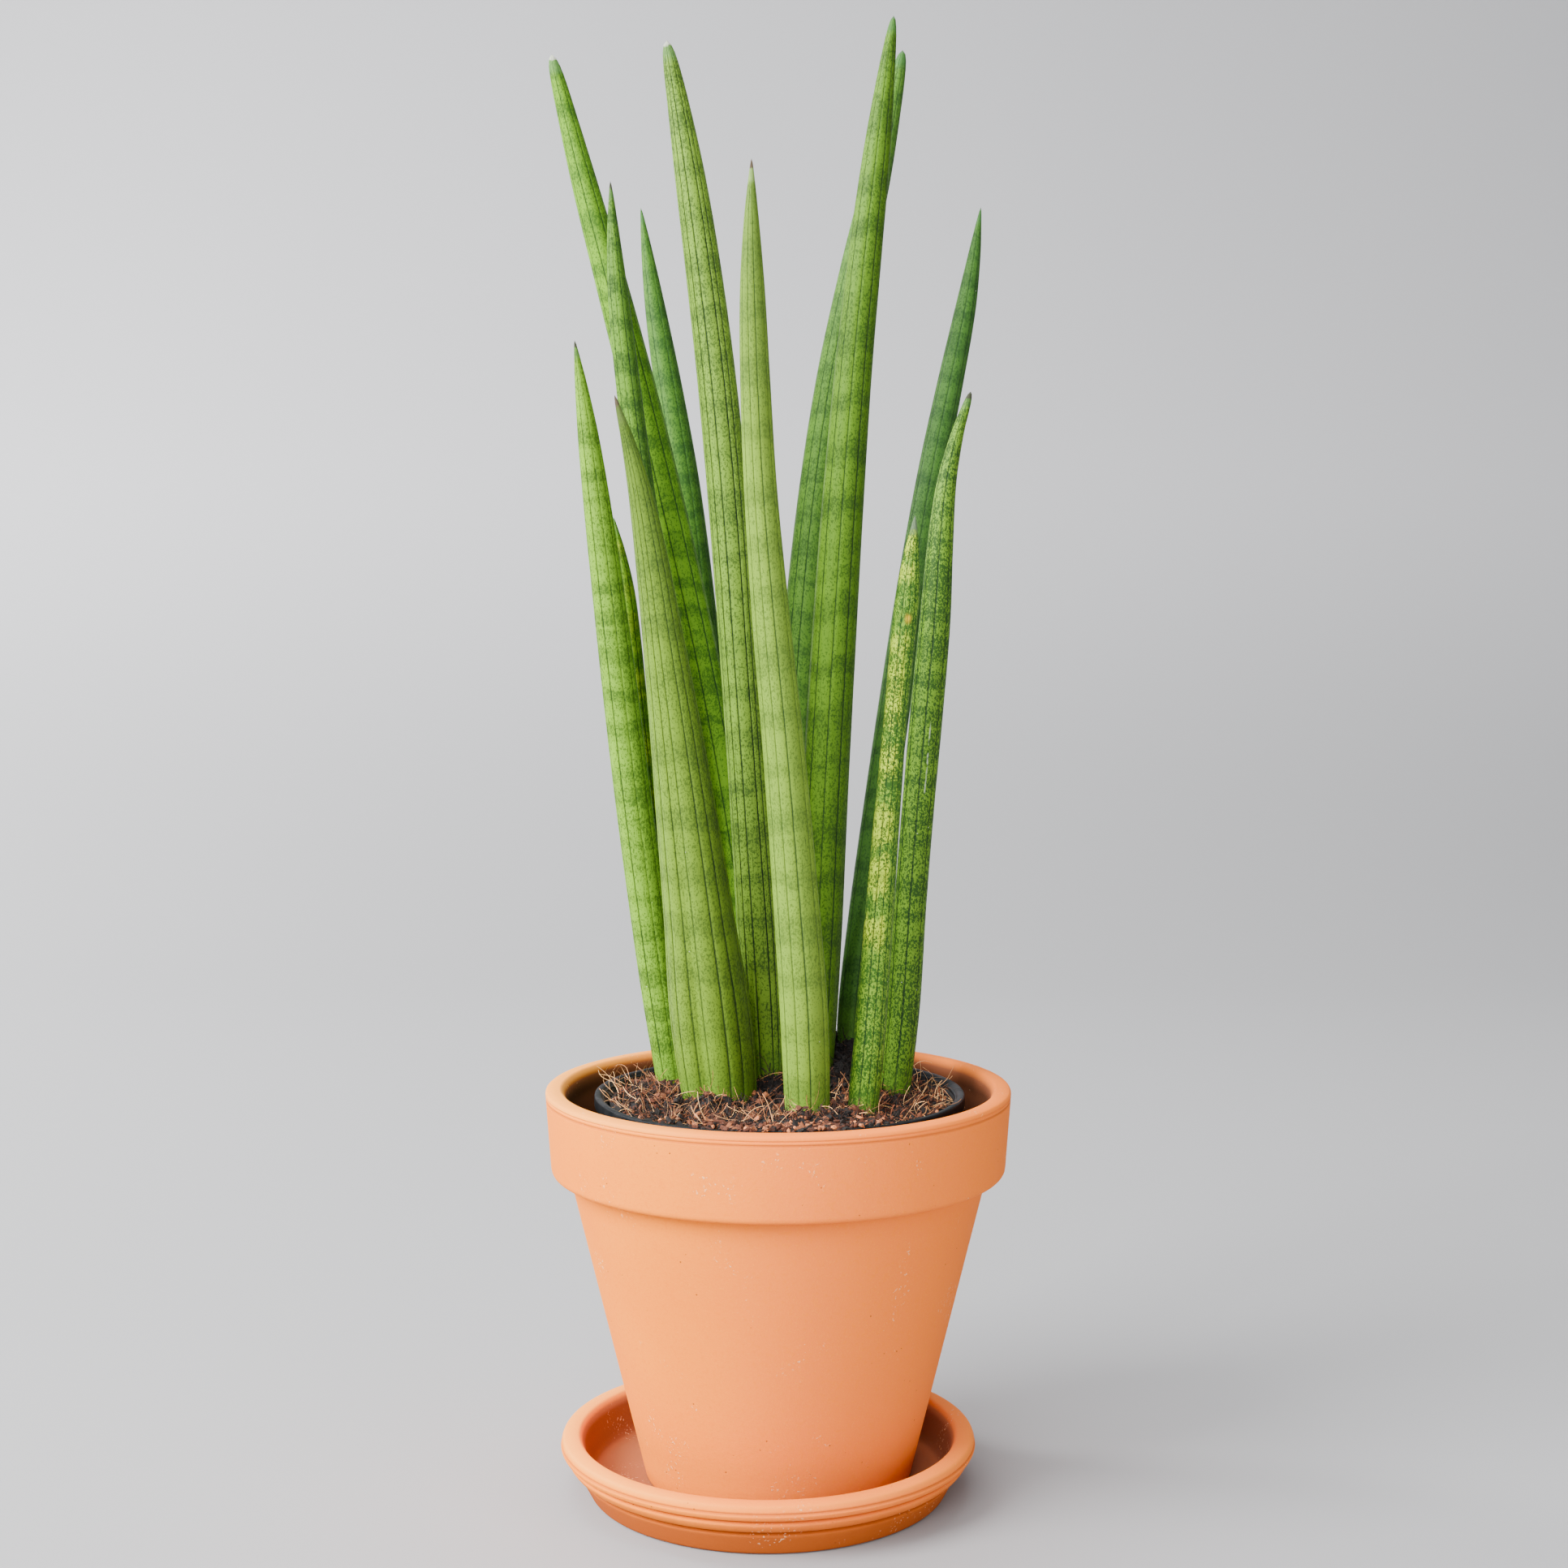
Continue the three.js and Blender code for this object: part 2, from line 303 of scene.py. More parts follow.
@dataclass(frozen=True)
class Terracotta:
    """Unglazed clay: faintly mottled and finely grained, with tiny pits, pale flecks, a worn lip, painted
    shade and a painted highlight.

    Attributes:
        name: The material's name.
        cone: Axis, radius at height 0 and slope of the cone that the outside follows.
        dim_z: Heights between which painted shade darkens the inside downwards.
        lip_z: Height above which the clay is worn pale, with a painted highlight on the left.
        dimness: How dark the painted shade inside gets, 0 to 1.
        floor_z: The inside floor that lime is left on, or below 0 for none.
        shaded_below_z: Height below which the outside darkens downwards as painted shade, or 0 for none.
        right_side_shade_x: From where to where the painted shade on the right side sets in.
        lip_highlight_x: From where to where the painted highlight on the lip's left side fades out.
        seams: Heights of the turned grooves, which are darkened with painted shade.
        body: The clay.
        warm: Its redder patches.
        bloom: Its paler ones.
        right_side_shade: The painted shade on its right side.
        lip_highlight: The painted highlight on the lip's left side.
        rubbed: The rest of the lip.
        shaded: The painted shade of the inside just below the lip.
        outer_shade: The painted shade of the outside, low down and in the grooves.
        inner_shade: The painted shade of the inside.
        pit: The tiny pits.
        fleck: The pale flecks and the lime.
    """

    name: str
    cone: tuple[float, float, float]
    dim_z: tuple[float, float]
    lip_z: float
    dimness: float = 0.94
    floor_z: float = -1.0
    shaded_below_z: float = 0.0
    right_side_shade_x: tuple[float, float] = (-45 * MM, 20 * MM)
    lip_highlight_x: tuple[float, float] = (-80 * MM, 0.0)
    seams: tuple[float, ...] = ()
    body: Colour = tint(0.93, 0.232, 0.0)
    warm: Colour = tint(0.86, 0.190, 0.0)
    bloom: Colour = tint(0.92, 0.300, 0.02)
    right_side_shade: Colour = tint(0.86, 0.178, 0.022)
    lip_highlight: Colour = tint(0.95, 0.370, 0.05)
    rubbed: Colour = tint(0.86, 0.195, 0.012)
    shaded: Colour = tint(0.30, 0.088, 0.036)
    outer_shade: Colour = tint(0.36, 0.070, 0.006)
    inner_shade: Colour = tint(0.078, 0.024, 0.009)
    pit: Colour = tint(0.10, 0.025, 0.008)
    fleck: Colour = tint(0.88, 0.50, 0.26)

    def make(self) -> bpy.types.Material:
        """Builds the material.

        Returns:
            The material.
        """
        bench = Bench(self.name)
        place = bench.place()
        x, y, height = bench.parts(place)
        inside = self.inside(x, y, height)
        clouds = bench.noise(place, 20.0)
        drift = bench.noise(place, 80.0, 3.0, 0.55)
        grain = bench.noise(place, 1700.0, 2.0, 0.7)
        sand = bench.noise(place, 620.0, 2.0, 0.6)
        pits = bench.cells(place, 260.0).rise(0.1, 0.04) * bench.noise(place, 90.0).rise(0.56, 0.6)
        clusters = bench.noise(place, 45.0, 4.0, 0.6).rise(0.56, 0.66)
        flecks = bench.noise(place, 900.0).rise(0.61, 0.68) * clusters
        rings = bench.noise(bench.vector(0.0, 0.0, height), 300.0)
        worn = height.rise(self.lip_z, self.lip_z + 2.0 * MM)
        colour = bench.mix(clouds.rise(0.3, 0.7) * 0.55, self.body, self.warm)
        colour = bench.mix(drift.rise(0.45, 0.8) * 0.14, colour, self.bloom)
        # Painted shade: the right side, away from the key light, is painted darker.
        colour = bench.mix(x.rise(*self.right_side_shade_x) * 0.8, colour, self.right_side_shade)
        colour = bench.mix(sand.rise(0.5, 0.7) * 0.5, colour, self.warm)
        colour = bench.mix(grain.rise(0.52, 0.75) * 0.45, colour, self.bloom)
        # The lip is worn pale, with a painted highlight on its left side.
        lip = bench.mix(x.rise(*self.lip_highlight_x), self.lip_highlight, self.rubbed)
        colour = bench.mix(worn * 0.7, colour, lip)
        # Painted shade: the outside darkens towards its foot.
        if self.shaded_below_z > 0:
            outer_shade = (height + drift * 3 * MM).rise(self.shaded_below_z, 0.45 * self.shaded_below_z)
            colour = bench.mix(outer_shade * 0.95, colour, self.outer_shade)
        # Painted shade in the turned grooves and under the pot's collar.
        for seam_z in self.seams:
            seam = (height + drift * 0.2 * MM - seam_z).size().rise(0.75 * MM, 0.15 * MM)
            colour = bench.mix(seam * (1.0 - inside) * 0.5, colour, self.outer_shade)
        # Painted shade inside, darkening downwards from the lip; the lime on the saucer's floor lessens it.
        dim = inside * height.rise(*self.dim_z) * self.dimness
        if self.floor_z > 0:
            lime = bench.noise(place, 110.0, 4.0, 0.65).rise(0.56, 0.66)
            on_floor = inside * height.rise(self.floor_z + 2 * MM, self.floor_z + 0.5 * MM)
            colour = bench.mix(lime * on_floor * 0.6, colour, self.fleck)
            dim = dim * (1.0 - on_floor * 0.45)
        colour = bench.mix((dim * 3.0).least(1.0), colour, self.shaded)
        colour = bench.mix(dim, colour, self.inner_shade)
        colour = bench.mix(pits * 0.75, colour, self.pit)
        colour = bench.mix(flecks * 0.7, colour, self.fleck)
        rough = 0.72 + grain * 0.16 - worn * 0.12
        relief = grain * 1.0 + sand * 0.9 + rings * 0.4 - pits * 3.0 + flecks * 1.2
        return bench.finish(
            Base_Color=colour,
            Roughness=rough,
            Specular_IOR_Level=0.12,
            Normal=bench.bump(relief, 0.08 * MM),
        )

    def inside(self, x: Signal, y: Signal, height: Signal) -> Signal:
        """Marks the clay that faces the inside.

        Args:
            x: Across.
            y: Back.
            height: Up.

        Returns:
            1 well inside the outer cone and 0 on it.
        """
        axis, foot_r, slope = self.cone
        from_axis = ((x - axis) ** 2.0 + y ** 2.0) ** 0.5
        return (from_axis - (height * slope + foot_r)).rise(-2.5 * MM, -4.5 * MM)


@dataclass(frozen=True)
class NurseryPlastic:
    """Dusty black moulded plastic.

    Attributes:
        name: The material's name.
    """

    name: str = "nursery_plastic"

    def make(self) -> bpy.types.Material:
        """Builds the material.

        Returns:
            The material.
        """
        bench = Bench(self.name)
        place = bench.place()
        dust = bench.noise(place, 130.0, 4.0, 0.65).rise(0.42, 0.75)
        scuffs = bench.noise(bench.stretched(place, 6.0), 300.0, 2.0, 0.6)
        colour = bench.mix(dust * 0.5, tint(0.006, 0.007, 0.008), tint(0.024, 0.025, 0.027))
        return bench.finish(
            Base_Color=colour,
            Roughness=0.42 + dust * 0.3,
            Specular_IOR_Level=0.08,
            Normal=bench.bump(scuffs, 0.05 * MM),
        )


@dataclass(frozen=True)
class Coir:
    """Coconut fibre: each crumb or fibre has its own shade, kept in an attribute of its mesh, with painted
    shade worked into it.

    Attributes:
        name: The material's name.
        dark: The wet, shaded colour.
        mid: The usual colour.
        pale: The dry colour, which also stands for painted light on pieces lying high and open.
    """

    name: str
    dark: Colour
    mid: Colour
    pale: Colour

    SHADE = "shade"

    def make(self) -> bpy.types.Material:
        """Builds the material.

        Returns:
            The material.
        """
        bench = Bench(self.name)
        place = bench.place()
        shade = bench.node("ShaderNodeAttribute", {"attribute_name": Coir.SHADE}, output="Fac")
        grain = bench.noise(place, 900.0, 3.0, 0.7)
        colour = bench.mix(shade.rise(0.18, 0.5), self.dark, self.mid)
        colour = bench.mix(shade.rise(0.48, 0.92), colour, self.pale)
        colour = bench.mix(grain.rise(0.45, 0.8) * 0.45, colour, self.dark)
        return bench.finish(Base_Color=colour, Roughness=0.92, Normal=bench.bump(grain, 0.25 * MM))


@dataclass(frozen=True)
class RhizomeSkin:
    """The rhizome's papery tan skin.

    Attributes:
        name: The material's name.
    """

    name: str = "rhizome_skin"

    def make(self) -> bpy.types.Material:
        """Builds the material.

        Returns:
            The material.
        """
        bench = Bench(self.name)
        place = bench.place()
        rings = bench.noise(place, 260.0, 3.0, 0.6)
        colour = bench.mix(rings.rise(0.35, 0.7), tint(0.30, 0.14, 0.05), tint(0.60, 0.38, 0.16))
        return bench.finish(Base_Color=colour, Roughness=0.75, Normal=bench.bump(rings, 0.3 * MM))


class Tip(Enum):
    """How a leaf ends."""

    NIB = "a small dark dry point"
    BROWN = "a longer brown point"
    RINGED = "a brown point above a pale ring"
    FLECK = "a blunt end with a pale fleck"
    GREY = "a grey-green cap"
    GREEN = "no dry point"


@dataclass(frozen=True)
class TipLook:
    """Colours of a leaf's end.

    Attributes:
        length: Length of the dry point.
        colour: Its colour.
        ring: Length of the band under it.
        ring_colour: That band's colour.
    """

    length: float
    colour: Colour
    ring: float
    ring_colour: Colour


TIP_LOOKS = {
    Tip.NIB: TipLook(3.0 * MM, tint(0.035, 0.040, 0.022), 5 * MM, tint(0.05, 0.12, 0.03)),
    Tip.BROWN: TipLook(4.0 * MM, tint(0.085, 0.065, 0.040), 8 * MM, tint(0.09, 0.13, 0.035)),
    Tip.RINGED: TipLook(3.5 * MM, tint(0.075, 0.055, 0.032), 6 * MM, tint(0.22, 0.34, 0.10)),
    Tip.FLECK: TipLook(2.2 * MM, tint(0.34, 0.36, 0.28), 7 * MM, tint(0.07, 0.16, 0.05)),
    Tip.GREY: TipLook(5.0 * MM, tint(0.10, 0.15, 0.08), 3 * MM, tint(0.14, 0.22, 0.07)),
    Tip.GREEN: TipLook(1.5 * MM, tint(0.05, 0.12, 0.04), 7 * MM, tint(0.045, 0.14, 0.035)),
}


SCAR_COLOUR = tint(0.42, 0.50, 0.34)


@dataclass(frozen=True)
class Scar:
    """A pale scratch down a leaf, or a rust spot.

    Attributes:
        side: How far to the right of the axis it runs, as a share of the radius.
        low_z: Its lower end.
        high_z: Its upper end.
        front_y: It shows only in front of this.
        half_width: Half its width, as a share of the radius.
        colour: Its colour.
    """

    side: float
    low_z: float
    high_z: float
    front_y: float
    half_width: float = 0.07
    colour: Colour = SCAR_COLOUR


@dataclass(frozen=True)
class LeafPoint:
    """A point of a leaf's skin, with what the patterns there are worked out from.

    Attributes:
        bench: The material's bench.
        place: Where it is, in metres.
        rib: Its rib coordinate, whole in each groove.
        height: Its height.
        side: How far it lies to the right of the axis.
    """

    bench: Bench
    place: Signal
    rib: Signal
    height: Signal
    side: Signal


@dataclass(frozen=True)
class LeafSkin:
    """Grooved leaf skin: dark speckle over a light ground, in bands, with a dark line down each groove and
    painted shade on its right.

    Attributes:
        name: The material's name.
        light: The ground between the speckles.
        dark: The speckles and the bands.
        tip_z: Height of the tip.
        foot_z: Height where it leaves the mix.
        line_reach: Half the width of a groove line, in ribs.
        phase: Shifts the pattern, so that no two leaves are alike.
        tip: How it ends.
        speckle: How dense the speckles are between the bands, 0 to 1.
        banding: How strong the bands are, 0 to 1.
        line: How strong the groove lines are, 0 to 1.
        cream: How much of the ground is cream, 0 to 1.
        cream_zones: Middle and half length of each zone that is cream from edge to edge.
        deeper: How much painted shade deepens the green on its right side, 0 to 1.
        crown: How much deeper the green is towards the tip, 0 to 1.
        pitch: About how far apart the bands are.
        scar: A long scratch or a rust spot, or None.
        cream_colour: The cream.
    """

    name: str
    light: Colour
    dark: Colour
    tip_z: float
    foot_z: float
    line_reach: float
    phase: float
    tip: Tip = Tip.NIB
    speckle: float = 0.5
    banding: float = 0.85
    line: float = 0.8
    cream: float = 0.0
    cream_zones: tuple[tuple[float, float], ...] = ()
    deeper: float = 0.32
    crown: float = 0.0
    pitch: float = 14 * MM
    scar: Scar | None = None
    cream_colour: Colour = tint(0.40, 0.54, 0.016)

    CROWN = (120 * MM, 15 * MM)  # how far under the tip the deeper green begins, and is full

    def make(self) -> bpy.types.Material:
        """Builds the material.

        Returns:
            The material.
        """
        bench = Bench(self.name)
        place = bench.place()
        rib, height, _ = bench.parts(bench.node("ShaderNodeUVMap", {"uv_map": Leaf.UV}))
        side = bench.node("ShaderNodeAttribute", {"attribute_name": Leaf.SIDE}, output="Fac")
        on = LeafPoint(bench, place, rib, height, side)
        bands = self.bands(on)
        groove, hairs = self.lines(on)
        cream = self.creamed(on)
        patches = bench.noise(bench.stretched(place, 0.45), 60.0).rise(0.35, 0.65)
        strip = bench.chance(rib.whole() + self.phase)
        # Painted shade: the right side is painted a deeper green and crowded with more speckles.
        deeper = side.rise(-0.3, 0.8) * self.deeper
        crowding = bands * self.banding * 0.35 + patches * 0.2 + deeper * 0.2 + self.speckle * 0.5 + 0.08
        specks = self.specks(on, crowding - cream * 0.15)

        colour = bench.mix(strip * 0.3 + patches * 0.2, self.light, self.blend(0.35))
        colour = bench.mix(cream, colour, self.cream_colour)
        colour = bench.mix(deeper, colour, self.dark)
        begins, full = self.CROWN
        crowned = height.rise(self.tip_z - begins, self.tip_z - full) * self.crown
        colour = bench.mix(crowned, colour, self.dark)
        colour = bench.mix(bands * self.banding * 0.7, colour, self.blend(0.8))
        colour = bench.mix(specks * (0.45 + 0.5 * self.speckle), colour, self.dark)
        marks = groove.most(hairs)
        colour = bench.mix(marks * self.line, colour, self.groove_green())
        scuffs = bench.cells(place, 170.0).rise(0.055, 0.03) * bench.noise(place, 45.0).rise(0.6, 0.66)
        colour = bench.mix(scuffs * 0.7, colour, SCAR_COLOUR)
        colour = self.scarred(on, colour)
        colour = self.ends(on, colour)
        wax = bench.noise(bench.stretched(place, 0.2), 160.0, 3.0, 0.6)
        relief = wax * 0.6 - specks * 0.3 - groove * 1.5
        return bench.finish(
            Base_Color=colour,
            Roughness=0.52 + specks * 0.10 - wax * 0.08,
            Specular_IOR_Level=0.10,
            Normal=bench.bump(relief, 0.08 * MM),
        )

    def specks(self, on: LeafPoint, crowding: Signal) -> Signal:
        """The fine dark speckles, drawn out a little along the leaf.

        Args:
            on: The point.
            crowding: How crowded they are, 0 to 1.

        Returns:
            1 on a speckle and 0 between.
        """
        drawn_out = on.bench.stretched(on.place, 0.7)
        grains = on.bench.noise(drawn_out, 1350.0, 2.0, 0.75)
        return (grains + crowding * 0.24 - 0.66).rise(-0.03, 0.035)

    def bands(self, on: LeafPoint) -> Signal:
        """The soft dark cross bands, shifted a little from strip to strip and broken into blotches.

        Args:
            on: The point.

        Returns:
            1 in a band and 0 between.
        """
        bench, place = on.bench, on.place
        shift = bench.noise(place, 90.0, 3.0, 0.6) * 0.5 + bench.chance(on.rib.whole()) * 0.12
        level = bench.vector(0.0, self.phase, on.height + shift * self.pitch)
        drift = bench.noise(level, 0.6 / self.pitch, 1.0, 0.5)
        beat = (bench.parts(level)[2] * (FULL_TURN / self.pitch) + drift * 9.0).sine()
        wide = beat.rise(-0.1, 0.9) * drift.rise(0.25, 0.55)
        narrow = bench.noise(level, 2.6 / self.pitch, 1.0, 0.5).rise(0.5, 0.66)
        blotches = bench.noise(bench.stretched(place, 0.8), 200.0, 3.0, 0.6).rise(0.34, 0.6)
        return (wide + narrow * 0.5).least(1.0) * (blotches * 0.45 + 0.55)

    def lines(self, on: LeafPoint) -> tuple[Signal, Signal]:
        """The thin dark lines down the grooves, and the broken hairlines between them.

        Args:
            on: The point.

        Returns:
            The groove lines and the hairlines, each 0 to 1.
        """
        bench, rib, height = on.bench, on.rib, on.height
        wandering = rib + bench.noise(on.place, 140.0) * 0.05
        from_groove = ((wandering + 0.475).fraction() - 0.5).size()
        chance = bench.chance((wandering + 0.475).whole() + self.phase)
        dashes = bench.noise(bench.vector(rib * 0.02, self.phase, height), 420.0, 2.0, 0.6).rise(0.28, 0.5)
        groove = from_groove.rise(self.line_reach, self.line_reach * 0.4)
        groove = groove * (chance * 1.3 + 0.55).least(1.0) * (dashes * 0.25 + 0.75)
        thirds = wandering * 3.0 + 0.425
        near = (thirds.fraction() - 0.5).size().rise(self.line_reach * 1.6, self.line_reach * 0.6)
        runs = bench.noise(bench.vector(thirds.whole() * 0.31, self.phase, height), 55.0, 2.0, 0.6)
        return groove, near * runs.rise(0.52, 0.62) * 0.45

    def creamed(self, on: LeafPoint) -> Signal | float:
        """Where the ground is cream: in streaky zones that leave the leaf's right edge green.

        Args:
            on: The point.

        Returns:
            1 where it is cream and 0 where it is green.
        """
        if not self.cream_zones and self.cream == 0:
            return 0.0
        bench, place = on.bench, on.place
        streaks = bench.noise(bench.stretched(place, 0.16), 420.0, 2.0, 0.6) - 0.5
        ragged = on.height + streaks * 0.014 + (bench.noise(place, 260.0, 3.0, 0.6) - 0.5) * 0.010
        if self.cream > 0:
            runs = bench.noise(bench.vector(0.0, self.phase, ragged), 85.0, 2.0, 0.6)
            return runs.rise(0.44, 0.58) * self.cream
        left = (on.side + streaks * 0.5).rise(0.55, 0.3)
        zones = [
            (ragged - middle).size().rise(half + 2.5 * MM, half - 1.5 * MM)
            for middle, half in self.cream_zones
        ]
        return functools.reduce(Signal.most, zones) * left * 0.92

    def scarred(self, on: LeafPoint, colour: Signal) -> Signal:
        """Adds the long pale scratch or the rust spot, if the leaf has one.

        Args:
            on: The point.
            colour: The colour so far.

        Returns:
            The colour with its scar.
        """
        if self.scar is None:
            return colour
        bench, place = on.bench, on.place
        _, y, height = bench.parts(place)
        wobble = bench.noise(bench.stretched(place, 0.3), 300.0) * 0.12
        across = (on.side + wobble - self.scar.side).size().rise(self.scar.half_width, 0.0)
        fade = min(0.5 * (self.scar.high_z - self.scar.low_z), 6 * MM)
        along = height.rise(self.scar.low_z, self.scar.low_z + fade)
        along = along * height.rise(self.scar.high_z, self.scar.high_z - fade)
        worn = bench.noise(bench.stretched(place, 0.5), 420.0, 2.0, 0.6).rise(0.4, 0.55)
        in_front = y.rise(self.scar.front_y, self.scar.front_y - MM)
        return bench.mix(across * along * worn * in_front * 0.8, colour, self.scar.colour)

    def blend(self, share: float) -> Colour:
        """A green part of the way from the ground to the speckles."""
        return tuple((1 - share) * light + share * dark for light, dark in zip(self.light, self.dark))

    def groove_green(self) -> Colour:
        """The grooves' colour, deeper and bluer than the speckles."""
        red, green, blue, alpha = self.dark
        return red * 0.25, green * 0.32, blue * 0.6 + 0.003, alpha

    def ends(self, on: LeafPoint, colour: Signal) -> Signal:
        """Adds the tip and the brighter foot.

        Args:
            on: The point.
            colour: The colour so far.

        Returns:
            The colour with its ends.
        """
        bench, place = on.bench, on.place
        look = TIP_LOOKS[self.tip]
        height = bench.parts(place)[2] + (bench.noise(place, 500.0) - 0.5) * 0.003
        dry_z = self.tip_z - look.length
        ring = height.rise(dry_z - look.ring, dry_z - 0.5 * look.ring) * 0.6
        colour = bench.mix(ring, colour, look.ring_colour)
        colour = bench.mix(height.rise(dry_z - 0.5 * MM, dry_z + 0.5 * MM), colour, look.colour)
        foot = height.rise(self.foot_z + 14 * MM, self.foot_z) * 0.35
        return bench.mix(foot, colour, tint(0.075, 0.170, 0.015))


# ---- Modelling helpers ----

Finish = Terracotta | NurseryPlastic | Coir | RhizomeSkin | LeafSkin


def deselect() -> None:
    """Leaves nothing selected."""
    if bpy.context.object and bpy.context.object.mode != "OBJECT":
        bpy.ops.object.mode_set(mode="OBJECT")
    bpy.ops.object.select_all(action="DESELECT")


@contextmanager
def editing(kind: str) -> Iterator[None]:
    """Edits the active piece with all of it selected, and in the end turns its faces outwards.

    Args:
        kind: What is selected: VERT, EDGE or FACE.

    Yields:
        Nothing.
    """
    bpy.ops.object.mode_set(mode="EDIT")
    bpy.ops.mesh.select_mode(type=kind)
    bpy.ops.mesh.select_all(action="SELECT")
    yield
    bpy.ops.mesh.select_all(action="SELECT")
    bpy.ops.mesh.normals_make_consistent(inside=False)
    bpy.ops.object.mode_set(mode="OBJECT")


def settle(piece: bpy.types.Object, name: str, angle: float = 40.0) -> None:
    """Puts a piece's place into its mesh, names it and smooths it.

    Args:
        piece: The object.
        name: Its name.
        angle: Edges sharper than this, in degrees, stay sharp.
    """
    deselect()
    piece.select_set(True)
    bpy.context.view_layer.objects.active = piece
    bpy.ops.object.transform_apply(location=True, rotation=True, scale=True)
    bpy.ops.object.shade_smooth_by_angle(angle=math.radians(angle))
    piece.name = name
    piece.data.name = name


def dress(piece: bpy.types.Object, material: bpy.types.Material) -> None:
    """Gives a piece one material."""
    piece.data.materials.clear()
    piece.data.materials.append(material)


def complete(
    piece: bpy.types.Object, name: str, angle: float, finish: Finish, slot: Slot, *nodes: str
) -> None:
    """Settles a piece, dresses it, ties it to the frame and reports it.

    Args:
        piece: The piece.
        name: Its name.
        angle: Edges sharper than this, in degrees, stay sharp.
        finish: Its finish.
        slot: Its slot in the record; not used.
        nodes: The nodes that it stands for.
    """
    settle(piece, name, angle)
    dress(piece, finish.make())
    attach(piece, BODY)
    if nodes:
        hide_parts(*nodes)
    LOG.info("%s: %d faces", piece.name, len(piece.data.polygons))


def add_object(name: str, data: bpy.types.ID) -> bpy.types.Object:
    """Adds an object to the scene.

    Args:
        name: Its name.
        data: What it shows.

    Returns:
        The object.
    """
    made = bpy.data.objects.new(name, data)
    bpy.context.scene.collection.objects.link(made)
    return made


def take_mesh(piece: bpy.types.Object) -> bpy.types.Mesh:
    """Takes a piece's mesh and removes the piece.

    Args:
        piece: The piece.

    Returns:
        A copy of its mesh.
    """
    mesh = piece.data.copy()
    bpy.data.objects.remove(piece)
    return mesh


def share_of_side(rounding: float, neighbour: float) -> float:
    """Shares out the side between two corners.

    Args:
        rounding: The first corner's rounding.
        neighbour: The second one's.

    Returns:
        How much of the side the first one may take.
    """
    if rounding == neighbour:
        return 0.48
    return 0.72 if rounding > neighbour else 0.26


def rounded(corners: Sequence[tuple[float, float, float]], arc_steps: int = 6) -> Outline:
    """Rounds the corners of an outline.

    Args:
        corners: Radius, height and rounding of each corner.
        arc_steps: Segments in each rounding.

    Returns:
        The outline's points.
    """
    points: Outline = []
    last = len(corners) - 1
    for index, (radius, height, rounding) in enumerate(corners):
        corner = Vector((radius, height))
        if rounding == 0 or index in (0, last):
            points.append((radius, height))
            continue
        before = Vector(corners[index - 1][:2]) - corner
        after = Vector(corners[index + 1][:2]) - corner
        reach = min(
            rounding,
            before.length * share_of_side(rounding, corners[index - 1][2]),
            after.length * share_of_side(rounding, corners[index + 1][2]),
        )
        start = corner + before.normalized() * reach
        end = corner + after.normalized() * reach
        for step in range(arc_steps + 1):
            share = step / arc_steps
            near = start.lerp(corner, share)
            far = corner.lerp(end, share)
            points.append(tuple(near.lerp(far, share)))
    return points


def turned(outline: Outline, centre_x: float, steps: int) -> bpy.types.Object:
    """Spins an outline of radii and heights round an upright axis.

    Args:
        outline: The outline, from its foot anticlockwise.
        centre_x: The axis.
        steps: Facets in a full turn.

    Returns:
        The turned piece, closed if its outline closes on itself or on the axis.
    """
    deselect()
    start_radius, start_height = outline[0]
    bpy.ops.mesh.primitive_plane_add(size=MM, location=(centre_x + start_radius, 0, start_height))
    piece = bpy.context.object
    bpy.ops.object.transform_apply(location=True, rotation=True, scale=True)
    with editing("VERT"):
        bpy.ops.mesh.merge(type="CENTER")
        for (radius, height), (next_radius, next_height) in zip(outline, outline[1:]):
            move = (next_radius - radius, 0, next_height - height)
            bpy.ops.mesh.extrude_vertices_move(TRANSFORM_OT_translate={"value": move})
        bpy.ops.mesh.select_all(action="SELECT")
        bpy.ops.mesh.spin(steps=steps, angle=FULL_TURN, center=(centre_x, 0, 0), axis=(0, 0, 1))
        bpy.ops.mesh.select_all(action="SELECT")
        bpy.ops.mesh.remove_doubles(threshold=0.01 * MM)
    return piece


def shift_points(piece: bpy.types.Object, move: Callable[[Vector], Vector]) -> None:
    """Moves each point of a piece to where the function puts it."""
    for vertex in piece.data.vertices:
        vertex.co = move(vertex.co.copy())


# ---- The pots and the saucer ----


